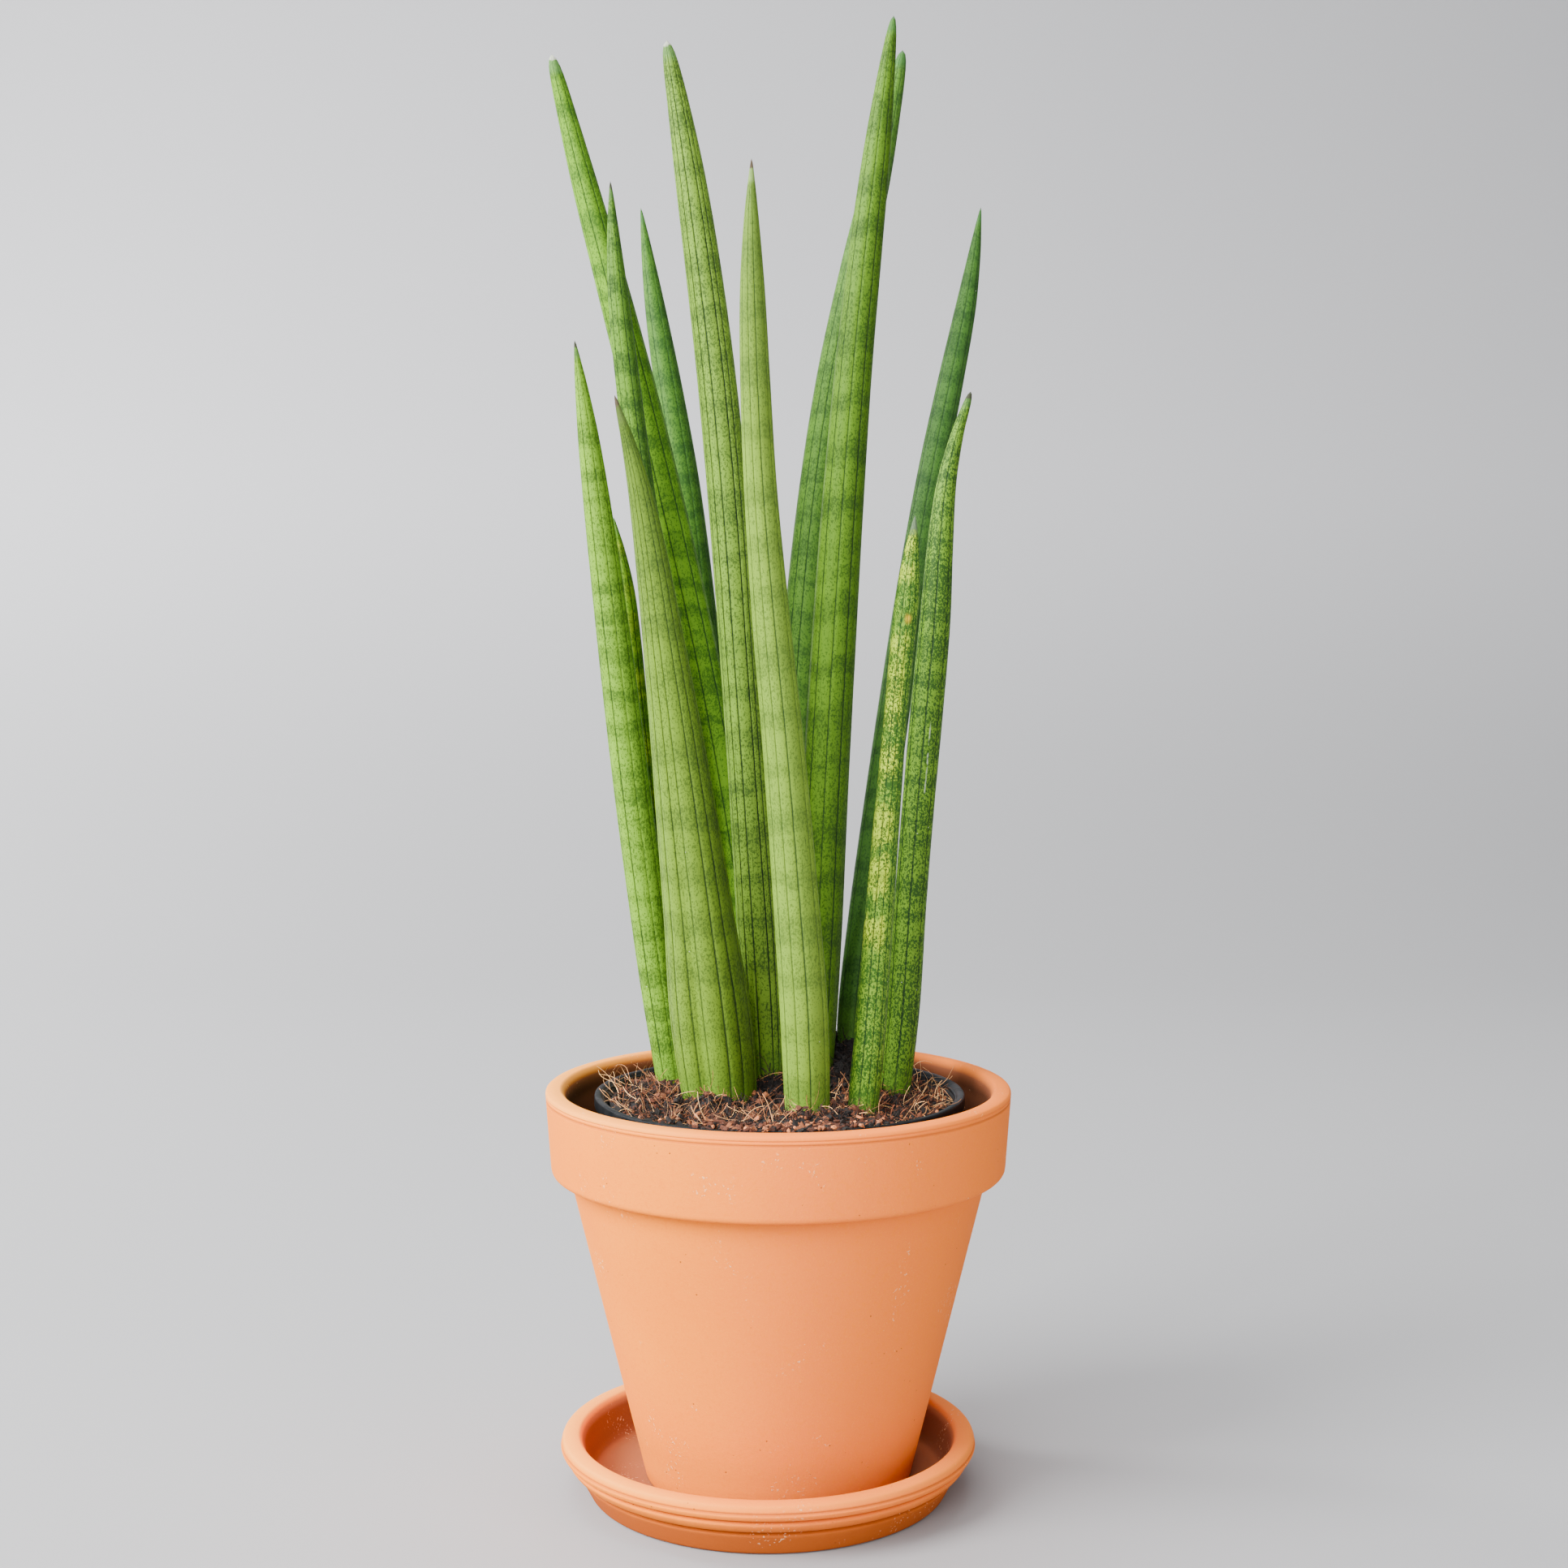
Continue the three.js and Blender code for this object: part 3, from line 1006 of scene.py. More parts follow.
@dataclass
class Saucer:
    """The clay saucer, with a rolled lip and turned grooves outside.

    Attributes:
        floor_z: Its inside floor.
        floor_r: Radius of the flat part of that floor.
        foot_r: Its foot's radius.
    """

    floor_z: float = 5.5 * MM
    floor_r: float = 65 * MM
    foot_r: float = 69.2 * MM

    def build(self) -> None:
        """Builds the saucer."""
        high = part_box("saucer")[1]
        lip_r, top, foot_r = high.x, high.z, self.foot_r
        corners = [
            (0.0, 0.0, 0.0),
            (foot_r, 0.0, 1.6 * MM),
            (foot_r + 4.6 * MM, 8.6 * MM, 0.8 * MM),
            (foot_r + 2.9 * MM, 9.7 * MM, 0.5 * MM),
            (foot_r + 7.0 * MM, 10.9 * MM, 2.0 * MM),
            (foot_r + 9.5 * MM, 14.4 * MM, 1.6 * MM),
            (foot_r + 7.6 * MM, 15.7 * MM, 0.5 * MM),
            (lip_r - 0.9 * MM, 16.5 * MM, 1.2 * MM),
            (lip_r, 18.5 * MM, 0.6 * MM),
            (lip_r - 0.8 * MM, 19.2 * MM, 0.3 * MM),
            (lip_r - 0.4 * MM, 19.9 * MM, 0.4 * MM),
            (lip_r - 1.2 * MM, top - 0.8 * MM, 1.4 * MM),
            (lip_r - 4.0 * MM, top, 2.2 * MM),
            (lip_r - 7.4 * MM, top - 0.4 * MM, 1.8 * MM),
            (lip_r - 9.6 * MM, 18.5 * MM, 2.0 * MM),
            (lip_r - 10.6 * MM, 14.0 * MM, 3.0 * MM),
            (self.floor_r + 3.2 * MM, self.floor_z, 4.5 * MM),
            (0.0, self.floor_z, 0.0),
        ]
        piece = turned(rounded(corners), 0.0, 180)
        clay = Terracotta(
            name="saucer_clay",
            cone=(0.0, foot_r, (lip_r - foot_r) / top),
            dim_z=(top - 1.0 * MM, top - 5.0 * MM),
            lip_z=top - 3.0 * MM,
            dimness=0.88,
            rubbed=tint(0.92, 0.250, 0.020),
            shaded=tint(0.46, 0.155, 0.060),
            inner_shade=tint(0.20, 0.064, 0.028),
            floor_z=self.floor_z,
            shaded_below_z=18 * MM,
            seams=(9.5 * MM, 15.6 * MM, 19.3 * MM),
        )
        complete(piece, "saucer_body", 35.0, clay, Slot.TERRACOTTA, "saucer")


@dataclass
class ClayPot:
    """The clay pot: a cone with a collar and a rounded lip.

    Attributes:
        wall: Thickness of its wall and its floor.
        drain_r: Radius of the hole in its floor.
        collar_z: Underside of the collar.
        lip_z: The lip's widest level.
        base_r: Its foot's radius.
        body_r: Its radius under the collar.
    """

    wall: float = 8 * MM
    drain_r: float = 6 * MM
    collar_z: float = 126 * MM
    lip_z: float = 155 * MM
    base_r: float = 51.5 * MM
    body_r: float = 80.2 * MM

    def build(self) -> None:
        """Builds the pot."""
        low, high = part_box("clay_pot")
        centre_x = (low.x + high.x) / 2
        lip_r = (high.x - low.x) / 2
        base, top = low.z, high.z
        floor = base + self.wall
        mouth_r = lip_r - self.wall
        corners = [
            (self.drain_r, base, 0.0),
            (self.base_r, base, 1.8 * MM),
            (self.body_r, self.collar_z - 3 * MM, 3.0 * MM),
            (self.body_r + 1.0 * MM, self.collar_z, 0.6 * MM),
            (lip_r - 2.3 * MM, self.collar_z, 2.6 * MM),
            (lip_r - 0.25 * MM, top - 4.4 * MM, 0.4 * MM),
            (lip_r - 0.55 * MM, top - 3.8 * MM, 0.2 * MM),
            (lip_r - 0.20 * MM, top - 3.3 * MM, 0.2 * MM),
            (lip_r - 0.15 * MM, top - 2.8 * MM, 0.2 * MM),
            (lip_r - 0.45 * MM, top - 2.4 * MM, 0.2 * MM),
            (lip_r, top - 1.9 * MM, 0.5 * MM),
            (lip_r - 0.5 * MM, top - 0.7 * MM, 0.9 * MM),
            (lip_r - 2.4 * MM, top, 1.6 * MM),
            (mouth_r + 2.0 * MM, top - 0.1 * MM, 1.6 * MM),
            (mouth_r, top - 2.6 * MM, 2.2 * MM),
            (mouth_r - 0.3 * MM, self.lip_z - 6 * MM, 2.0 * MM),
            (self.base_r - self.wall + 1.5 * MM, floor, 6.0 * MM),
            (self.drain_r, floor, 0.0),
            (self.drain_r, base, 0.0),
        ]
        piece = turned(rounded(corners), centre_x, 192)
        shift_points(piece, self.handled)
        slope = (self.body_r - self.base_r) / (self.collar_z - base)
        clay = Terracotta(
            name="pot_clay",
            cone=(centre_x, self.base_r - slope * base, slope),
            dim_z=(top - 0.2 * MM, top - 8 * MM),
            lip_z=top - 3.2 * MM,
            seams=(self.collar_z - 0.3 * MM, top - 3.8 * MM),
        )
        complete(piece, "clay_pot_body", 35.0, clay, Slot.TERRACOTTA, "clay_pot")

    def handled(self, point: Vector) -> Vector:
        """Adds the small dents of firing and handling to the lip and the collar.

        Args:
            point: A point of the pot.

        Returns:
            Its place with the dents.
        """
        worn = smooth_step(self.collar_z - 4 * MM, self.collar_z, point.z)
        dent = noise.noise(point * 180.0) * 0.10 * MM + noise.noise(point * 40.0) * 0.12 * MM
        return point - Vector((point.x, point.y, 0)).normalized() * worn * abs(dent)


@dataclass
class NurseryPot:
    """The thin black pot inside the clay one, with a flat rim and drainage holes.

    Attributes:
        wall: Thickness of its wall.
        rim: Width of its flat rim.
        skirt: Depth of the rim's turned-down edge.
        base_r: Its foot's radius.
        neck_r: Its radius under the rim.
        drains: How many drainage holes it has.
        drain_r: Their radius.
        drain_ring_r: Radius of the circle that they stand on.
        free_z: Between these heights the wall comes to wander freely.
    """

    wall: float = 1.2 * MM
    rim: float = 2.4 * MM
    skirt: float = 4.5 * MM
    base_r: float = 43 * MM
    neck_r: float = 67.3 * MM
    drains: int = 6
    drain_r: float = 4.5 * MM
    drain_ring_r: float = 28 * MM
    free_z: tuple[float, float] = (120 * MM, 156 * MM)

    def build(self) -> None:
        """Builds the pot."""
        low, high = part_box("nursery_pot")
        centre_x = (low.x + high.x) / 2
        rim_r = (high.x - low.x) / 2
        base, top = low.z, high.z
        edge = top - self.skirt
        corners = [
            (0.0, base, 0.0),
            (self.base_r, base, 1.5 * MM),
            (self.neck_r, edge, 0.5 * MM),
            (self.neck_r + 0.6 * MM, top - self.wall, 0.5 * MM),
            (rim_r - self.wall, top - self.wall, 0.4 * MM),
            (rim_r - self.wall, edge, 0.3 * MM),
            (rim_r, edge, 0.4 * MM),
            (rim_r, top, 0.9 * MM),
            (rim_r - self.rim, top, 0.9 * MM),
            (self.neck_r - self.wall, edge, 0.8 * MM),
            (self.base_r - self.wall, base + 1.5 * MM, 1.0 * MM),
            (0.0, base + 1.5 * MM, 0.0),
        ]
        piece = turned(rounded(corners, 3), centre_x, 128)
        self.drain(piece, centre_x, base)
        shift_points(piece, self.warped)
        complete(piece, "nursery_pot_body", 35.0, NurseryPlastic(), Slot.PLASTIC, "nursery_pot")

    def drain(self, piece: bpy.types.Object, centre_x: float, base: float) -> None:
        """Cuts the drainage holes.

        Args:
            piece: The pot.
            centre_x: Its axis.
            base: Its underside.
        """
        for index in range(self.drains):
            angle = index * FULL_TURN / self.drains
            x = centre_x + self.drain_ring_r * math.cos(angle)
            y = self.drain_ring_r * math.sin(angle)
            deselect()
            bpy.ops.mesh.primitive_cylinder_add(
                vertices=24, radius=self.drain_r, depth=6 * MM, location=(x, y, base)
            )
            cutter = bpy.context.object
            deselect()
            piece.select_set(True)
            bpy.context.view_layer.objects.active = piece
            cut = piece.modifiers.new("drain", "BOOLEAN")
            cut.operation = "DIFFERENCE"
            cut.object = cutter
            bpy.ops.object.modifier_apply(modifier=cut.name)
            bpy.data.objects.remove(cutter)

    def warped(self, point: Vector) -> Vector:
        """Lets the thin rim wander a little.

        Args:
            point: A point of the pot.

        Returns:
            Its warped place.
        """
        free = smooth_step(*self.free_z, point.z)
        around = Vector((point.x, point.y, 0)).normalized()
        wander = noise.noise(around * 1.7) * 0.5 * MM
        dip = noise.noise(around * 2.3 + Vector((0, 0, 5))) * 0.5 * MM
        return point + free * (around * wander + Vector((0, 0, -abs(dip))))


# ---- Leaves ----


@dataclass
class Ring:
    """One level ring of a leaf.

    Attributes:
        z: Its height.
        x: Its centre, across.
        y: Its centre, back.
        r: Its radius.
    """

    z: float
    x: float
    y: float
    r: float


class Course:
    """A leaf's axis and radius as smooth functions of height, read from its node in the frame."""

    LEVEL_STEP = 0.02  # in millimetres: points closer in height than this are on one level
    FULL_RING = 16  # a level with fewer points isn't a whole ring
    ROOT_LEAN = 0.6  # how much of the first run's lean goes on under the foot
    ROOT_GIRTH = 0.62  # the root's radius, as a share of the foot's

    def __init__(self, node: bpy.types.Object) -> None:
        """Reads the node's level rings.

        Args:
            node: The leaf's node.
        """
        levels: dict[int, set[tuple[float, float]]] = {}
        for vertex in node.data.vertices:
            x, y, z = vertex.co
            level = round(z / (self.LEVEL_STEP * MM))
            levels.setdefault(level, set()).add((round(x, 6), round(y, 6)))
        self.rings = [
            self.ring(level * self.LEVEL_STEP * MM, points)
            for level, points in sorted(levels.items())
            if len(points) >= self.FULL_RING
        ]
        self.foot_z = self.rings[0].z
        self.tip_z = self.rings[-1].z
        lowest = min(vertex.co.z for vertex in node.data.vertices)
        first, second = self.rings[:2]
        lean = (lowest - first.z) / (second.z - first.z) * self.ROOT_LEAN
        root = Ring(
            lowest,
            first.x + lean * (second.x - first.x),
            first.y + lean * (second.y - first.y),
            first.r * self.ROOT_GIRTH,
        )
        self.rings.insert(0, root)

    @staticmethod
    def ring(z: float, points: Iterable[tuple[float, float]]) -> Ring:
        """The centre and radius of one level's points.

        Args:
            z: The level.
            points: Its points.

        Returns:
            The ring.
        """
        every = list(points)
        x = sum(point[0] for point in every) / len(every)
        y = sum(point[1] for point in every) / len(every)
        return Ring(z, x, y, max(math.hypot(px - x, py - y) for px, py in every))

    def at(self, z: float) -> Ring:
        """The ring at any height.

        Args:
            z: The height.

        Returns:
            The ring there, on a smooth curve through the node's own rings.
        """
        rings = self.rings
        index = max(i for i, ring in enumerate(rings[:-1]) if i == 0 or ring.z <= z)
        low, high = rings[index], rings[index + 1]
        span = high.z - low.z
        t = min(max((z - low.z) / span, 0.0), 1.0)
        values = []
        for key in ("x", "y", "r"):
            start, end = getattr(low, key), getattr(high, key)
            slope_in = self.slope(index, key) * span
            slope_out = self.slope(index + 1, key) * span
            values.append(
                (2 * t**3 - 3 * t**2 + 1) * start
                + (t**3 - 2 * t**2 + t) * slope_in
                + (3 * t**2 - 2 * t**3) * end
                + (t**3 - t**2) * slope_out
            )
        return Ring(z, values[0], values[1], max(values[2], 0.05 * MM))

    def slope(self, index: int, key: str) -> float:
        """The slope of one value at one of the node's rings.

        Args:
            index: The ring.
            key: The value's name.

        Returns:
            Its change per metre of height.
        """
        before = self.rings[max(index - 1, 0)]
        after = self.rings[min(index + 1, len(self.rings) - 1)]
        return (getattr(after, key) - getattr(before, key)) / (after.z - before.z)


@dataclass
class Leaf:
    """One round, grooved, spear-shaped leaf.

    Attributes:
        node: The node that it replaces.
        course: Its course, read from that node.
        skin: Its finish.
        slot: Its slot in the record.
        ribs: Strips between its grooves.
        seed: Seeds the grooves' places.
        channel: Angle and depth of a deep fold down the leaf, or None.
        relief: Depth of the grooves as a share of the radius.
        rings: Steps from its foot to its tip.
    """

    node: str
    course: Course
    skin: LeafSkin
    slot: Slot
    ribs: int
    seed: int
    channel: tuple[float, float] | None = None
    relief: float = 0.028
    rings: int = 56

    UV = "leaf"  # the map with the rib coordinate and the height
    SIDE = "side"  # the attribute with the reach to the right
    # Place across a strip and how far it swells there, each as a share.
    ACROSS = ((0.0, 0.0), (0.08, 0.72), (0.28, 0.95), (0.5, 1.0), (0.72, 0.95), (0.92, 0.72))
    STRIP_WIDTHS = (0.62, 1.38)  # the narrowest and the widest strip, as shares of the usual one
    PROUD = 1.004  # the strips' reach, as a share of the node's radius
    BURIED = (0, 0.35, 0.7)  # rings between the root and the foot, as shares of the way
    CROWDING = 1.35  # how much closer the rings are towards the tip, where 1 is evenly spaced
    FOLD_END = 0.7  # where the deep fold has faded out, as a share of the way to the tip
    FOLD_SWING = 0.2  # half the fold's width, in radians

    def section(self) -> Section:
        """The leaf's outline seen from above.

        Returns:
            Angle, reach as a share of the radius, and rib coordinate of each point.
        """
        draw = random.Random(self.seed)
        widths = [draw.uniform(*self.STRIP_WIDTHS) for _ in range(self.ribs)]
        turn = draw.uniform(0, FULL_TURN)
        total = sum(widths)
        points = []
        passed = 0.0
        for rib, width in enumerate(widths):
            for share, swell in self.ACROSS:
                angle = turn + FULL_TURN * (passed + share * width) / total
                reach = self.PROUD - self.relief * (1 - swell)
                points.append((angle % FULL_TURN, reach, rib + share))
            passed += width
        return points

    def levels(self) -> list[float]:
        """Places the leaf's rings, closer together towards the tip.

        Returns:
            Their heights, from the root up.
        """
        course = self.course
        root = course.rings[0].z
        under = [root + share * (course.foot_z - root) for share in self.BURIED]
        shares = [1 - (1 - step / self.rings) ** self.CROWDING for step in range(self.rings + 1)]
        return under + [course.foot_z + share * (course.tip_z - course.foot_z) for share in shares]

    def build(self) -> None:
        """Builds the leaf."""
        section = self.section()
        piece = self.stack(section)
        self.lay_uv(piece, section)
        self.mark_sides(piece)
        if self.channel:
            shift_points(piece, self.folded)
        name = self.node.replace("leaf_", "blade_")
        complete(piece, name, 60.0, self.skin, self.slot, self.node)

    def stack(self, section: Section) -> bpy.types.Object:
        """Raises the leaf ring by ring from its root.

        Args:
            section: Its outline.

        Returns:
            The closed leaf.
        """
        deselect()
        course = self.course
        levels = self.levels()
        root = course.at(levels[0])
        bpy.ops.mesh.primitive_circle_add(vertices=len(section), radius=root.r, fill_type="TRIFAN")
        piece = bpy.context.object
        rim = [vertex for vertex in piece.data.vertices if vertex.co.length > 0.5 * root.r]
        rim.sort(key=lambda vertex: math.atan2(vertex.co.y, vertex.co.x) % FULL_TURN)
        for vertex, (angle, reach, _) in zip(rim, sorted(section)):
            vertex.co = (root.r * reach * math.cos(angle), root.r * reach * math.sin(angle), 0)
        for vertex in piece.data.vertices:
            vertex.co += Vector((root.x, root.y, root.z))
        with editing("EDGE"):
            bpy.ops.mesh.region_to_loop()
            low = root
            for level in levels[1:]:
                high = course.at(level)
                move = (high.x - low.x, high.y - low.y, high.z - low.z)
                bpy.ops.mesh.extrude_edges_move(TRANSFORM_OT_translate={"value": move})
                share = high.r / low.r
                bpy.ops.transform.resize(value=(share, share, 1), center_override=(high.x, high.y, high.z))
                low = high
            bpy.ops.mesh.merge(type="CENTER")
            bpy.ops.mesh.select_mode(type="VERT")
        return piece

    def lay_uv(self, piece: bpy.types.Object, section: Section) -> None:
        """Lays a map over the leaf: the rib coordinate across it and the height in metres along it.

        Args:
            piece: The leaf.
            section: Its outline.
        """
        course = self.course
        turn = section[0][0]
        table = [((angle - turn) % FULL_TURN, rib) for angle, _, rib in section]
        table.append((FULL_TURN, float(self.ribs)))

        def rib_at(point: Vector) -> float | None:
            """Works out a point's rib coordinate.

            Args:
                point: The point.

            Returns:
                The coordinate, or None on the axis.
            """
            ring = course.at(point.z)
            if math.hypot(point.x - ring.x, point.y - ring.y) < 0.2 * ring.r:
                return None
            angle = (math.atan2(point.y - ring.y, point.x - ring.x) - turn) % FULL_TURN
            for (low, low_rib), (high, high_rib) in zip(table, table[1:]):
                if angle <= high:
                    return low_rib + (angle - low) / (high - low) * (high_rib - low_rib)
            return float(self.ribs)

        ribs = [rib_at(vertex.co) for vertex in piece.data.vertices]
        layer = piece.data.uv_layers.new(name=self.UV)
        for face in piece.data.polygons:
            known = [ribs[index] for index in face.vertices if ribs[index] is not None]
            wraps = known and max(known) - min(known) > self.ribs / 2
            known = [rib + self.ribs if wraps and rib < self.ribs / 2 else rib for rib in known]
            middle = sum(known) / len(known) if known else 0.0
            for loop, index in zip(face.loop_indices, face.vertices):
                rib = ribs[index]
                if rib is None:
                    rib = middle
                elif wraps and rib < self.ribs / 2:
                    rib += self.ribs
                layer.data[loop].uv = (rib, piece.data.vertices[index].co.z)

    def mark_sides(self, piece: bpy.types.Object) -> None:
        """Marks how far each point lies to the right of the axis, from -1 on the left to 1 on the right.

        Args:
            piece: The leaf.
        """
        sides = piece.data.attributes.new(self.SIDE, "FLOAT", "POINT")
        for index, vertex in enumerate(piece.data.vertices):
            ring = self.course.at(vertex.co.z)
            sides.data[index].value = (vertex.co.x - ring.x) / ring.r

    def folded(self, point: Vector) -> Vector:
        """Presses the deep fold into the leaf, fading out towards the tip.

        Args:
            point: A point of the leaf.

        Returns:
            Its folded place.
        """
        at_angle, depth = self.channel
        course = self.course
        ring = course.at(point.z)
        out = Vector((point.x - ring.x, point.y - ring.y, 0))
        if out.length < 0.1 * ring.r:
            return point
        swing = math.remainder(math.atan2(out.y, out.x) - at_angle, FULL_TURN)
        end_z = course.foot_z + self.FOLD_END * (course.tip_z - course.foot_z)
        fade = 1 - smooth_step(course.foot_z, end_z, point.z)
        return point - out * depth * fade * math.exp(-((swing / self.FOLD_SWING) ** 2))


# ---- Potting mix ----


@dataclass
class PottingMix:
    """The coir mix: a heaped body, with crumbs, shreds and loose fibres over it.

    Attributes:
        courses: The leaves' courses, which everything loose stays out of.
        level_z: Its level along the nursery pot's wall.
        foot_r: Its radius on that pot's floor.
        crumbs: How many crumbs lie on it.
        fibres: How many fibres lie on it or stand out of it.
        shreds: How many short curled shreds lie among the crumbs.
        spilt: How many crumbs lie over the pot's rim at the front.
        strays: How many long fibres lean out over the rim.
        seed: Seeds where everything falls.
    """

    courses: dict[str, Course]
    level_z: float = 152.5 * MM
    foot_r: float = 41.5 * MM
    crumbs: int = 7500
    fibres: int = 1700
    shreds: int = 4200
    spilt: int = 750
    strays: int = 55
    seed: int = 7

    # Across, back, rise and spread of each heap, in millimetres.
    HEAPS = ((10, 38, 13, 24), (38, 48, 16, 12), (-20, -21, 5, 6), (27, -44, 4, 9), (-46, 2, 4, 16))
    # The wet part among the leaves at the back is painted darker too, as painted shade.
    WET_SHADE = (14, 32, 34)  # middle and spread of the wet part, in millimetres
    CRUMB_SIZES = ((0.4, 0.75), (0.7, 1.1), (1.1, 1.9))  # in millimetres
    CRUMB_ODDS = (5, 4, 1)
    ROW = 0.9 * MM  # from ring to ring of the top's mesh
    WELL_ABOVE = 300 * MM  # a height that is clear of the mix
    DOWN = Vector((0, 0, -1))

    def __post_init__(self) -> None:
        """Reads the mix's place from the frame."""
        low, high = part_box("potting_mix")
        self.centre_x = (low.x + high.x) / 2
        self.reach = (high.x - low.x) / 2
        self.floor_z = low.z
        self.rim_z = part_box("nursery_pot")[1].z

    def height(self, x: float, y: float, reach: float) -> float:
        """Height of the mix, without its crumbs.

        Args:
            x: Across.
            y: Back.
            reach: How far out the mix goes.

        Returns:
            The height.
        """
        heaps = sum(
            rise * MM * math.exp(-((x / MM - at_x) ** 2 + (y / MM - at_y) ** 2) / (2 * spread**2))
            for at_x, at_y, rise, spread in self.HEAPS
        )
        across = x - self.centre_x
        out = math.hypot(across, y) / reach
        front = 4.8 * MM * math.exp(-((across / MM / 38) ** 2)) * smooth_step(30 * MM, 58 * MM, -y)
        return self.level_z + max(1 - out**8, 0) * heaps + max(1 - out**40, 0) * front

    def build(self) -> None:
        """Builds the mix and scatters what lies on it."""
        body = self.body()
        self.surface: BVHTree = BVHTree.FromPolygons(
            [vertex.co.copy() for vertex in body.data.vertices],
            [tuple(face.vertices) for face in body.data.polygons],
        )
        self.scatter_crumbs()
        self.scatter_shreds()
        self.scatter_fibres()

    def body(self) -> bpy.types.Object:
        """Builds the mix's own body with a rough top, painted near-black as the shade between the crumbs.

        Returns:
            The body.
        """
        reach = self.reach
        rows = int(reach / self.ROW)
        outline: Outline = [(0.0, self.floor_z), (self.foot_r, self.floor_z), (reach, self.level_z)]
        outline += [(reach * (1 - row / rows), self.level_z) for row in range(1, rows + 1)]
        piece = turned(outline, self.centre_x, 220)
        shift_points(piece, self.heaped)
        # Painted shade: the body is near-black, standing for the shade in the gaps between the crumbs.
        shades = piece.data.attributes.new(Coir.SHADE, "FLOAT", "POINT")
        for index, vertex in enumerate(piece.data.vertices):
            shades.data[index].value = 0.16 + 0.22 * noise.noise(vertex.co * 300.0)
        coir = Coir(
            "mix_dark", tint(0.003, 0.001, 0.001), tint(0.010, 0.004, 0.002), tint(0.026, 0.010, 0.006)
        )
        complete(piece, "mix_body", 50.0, coir, Slot.COIR, "potting_mix")
        return piece

    def heaped(self, point: Vector) -> Vector:
        """Raises a point of the flat top to the heap, with lumps and pits.

        Args:
            point: A point of the body.

        Returns:
            Its raised place.
        """
        if point.z < self.level_z - 1 * MM:
            return point
        from_wall = 1 - (math.hypot(point.x - self.centre_x, point.y) / self.reach) ** 20
        flat = Vector((point.x, point.y, 0))
        lumps = noise.fractal(flat * 190.0, 0.8, 2.1, 4) * 2.6 * MM
        pits = -abs(noise.noise(flat * 140.0 + Vector((3, 8, 1)))) * 7.0 * MM
        z = self.height(point.x, point.y, self.reach) + max(from_wall, 0) * (lumps + pits)
        return Vector((point.x, point.y, z))

    def spot(self, draw: random.Random, reach: float, clear: float) -> Vector:
        """A random point of the mix's surface, clear of the leaves.

        Args:
            draw: The random draw.
            reach: How far out it may lie.
            clear: Least distance from a leaf.

        Returns:
            The point.
        """
        while True:
            distance = reach * math.sqrt(draw.random())
            angle = draw.uniform(0, FULL_TURN)
            x = self.centre_x + distance * math.cos(angle)
            y = distance * math.sin(angle)
            z = self.height(x, y, reach)
            rings = [course.at(z) for course in self.courses.values()]
            if all(math.hypot(x - ring.x, y - ring.y) > ring.r + clear for ring in rings):
                return self.surface.ray_cast(Vector((x, y, self.WELL_ABOVE)), self.DOWN)[0]

    def scatter_crumbs(self) -> None:
        """Scatters coir crumbs over the mix, and over the pot's rim at the front."""
        draw = random.Random(self.seed)
        shapes = [self.crumb(kind) for kind in range(6)]
        pile = Pile("mix_crumbs")
        for _ in range(self.crumbs):
            ground = self.spot(draw, self.reach - 1.2 * MM, -0.2 * MM)
            size = draw.uniform(*draw.choices(self.CRUMB_SIZES, self.CRUMB_ODDS)[0]) * MM
            lift = draw.random()
            raised = ground + Vector((0, 0, size * (1.5 * lift - 0.5)))
            # Painted shade: crumbs that lie low or down in a hollow, or among the leaves at the back, get
            # darker shades.
            lit = 0.05 + 0.95 * lift * self.open_sky(ground)
            shade = draw.betavariate(1.6, 1.5) * lit * self.dry_and_unshaded(ground)
            pile.add(draw.choice(shapes), self.tumbled(draw, raised, size), shade)
        for _ in range(self.spilt):
            angle = -math.pi / 2 + draw.gauss(0, 0.27)
            distance = self.reach + draw.uniform(-5.0, 5.0) * MM
            lift = draw.random()
            size = draw.uniform(0.5, 1.5) * MM
            raised = self.by_wall(angle, distance, self.rim_z + (lift * 1.6 - 0.9) * MM)
            # Painted shade: crumbs that lie lower get darker shades.
            shade = draw.betavariate(1.6, 1.5) * (0.2 + 0.8 * lift)
            pile.add(draw.choice(shapes), self.tumbled(draw, raised, size), shade)
        coir = Coir(
            "coir_crumb", tint(0.004, 0.002, 0.001), tint(0.095, 0.024, 0.008), tint(0.66, 0.215, 0.070)
        )
        complete(pile.make(), "mix_crumbs", 30.0, coir, Slot.COIR)

    def by_wall(self, angle: float, distance: float, z: float) -> Vector:
        """The point at an angle, a distance from the axis and a height."""
        return Vector((self.centre_x + distance * math.cos(angle), distance * math.sin(angle), z))

    def open_sky(self, ground: Vector) -> float:
        """How open a point of the mix is, for painted shade: 0 down in a hollow and 1 on a lump."""
        return smooth_step(-3.4 * MM, 0.4 * MM, ground.z - self.height(ground.x, ground.y, self.reach))

    @staticmethod
    def tumbled(draw: random.Random, place: Vector, size: float) -> Matrix:
        """A crumb's place, with any turn and its own proportions.

        Args:
            draw: The random draw.
            place: Its middle.
            size: Its size.

        Returns:
            The placing.
        """
        axis = Vector([draw.gauss(0, 1) for _ in range(3)]).normalized()
        stretch = Vector((draw.uniform(0.6, 1.9), draw.uniform(0.6, 1.1), draw.uniform(0.5, 0.9)))
        return Matrix.LocRotScale(place, Quaternion(axis, draw.uniform(0, FULL_TURN)), stretch * size)

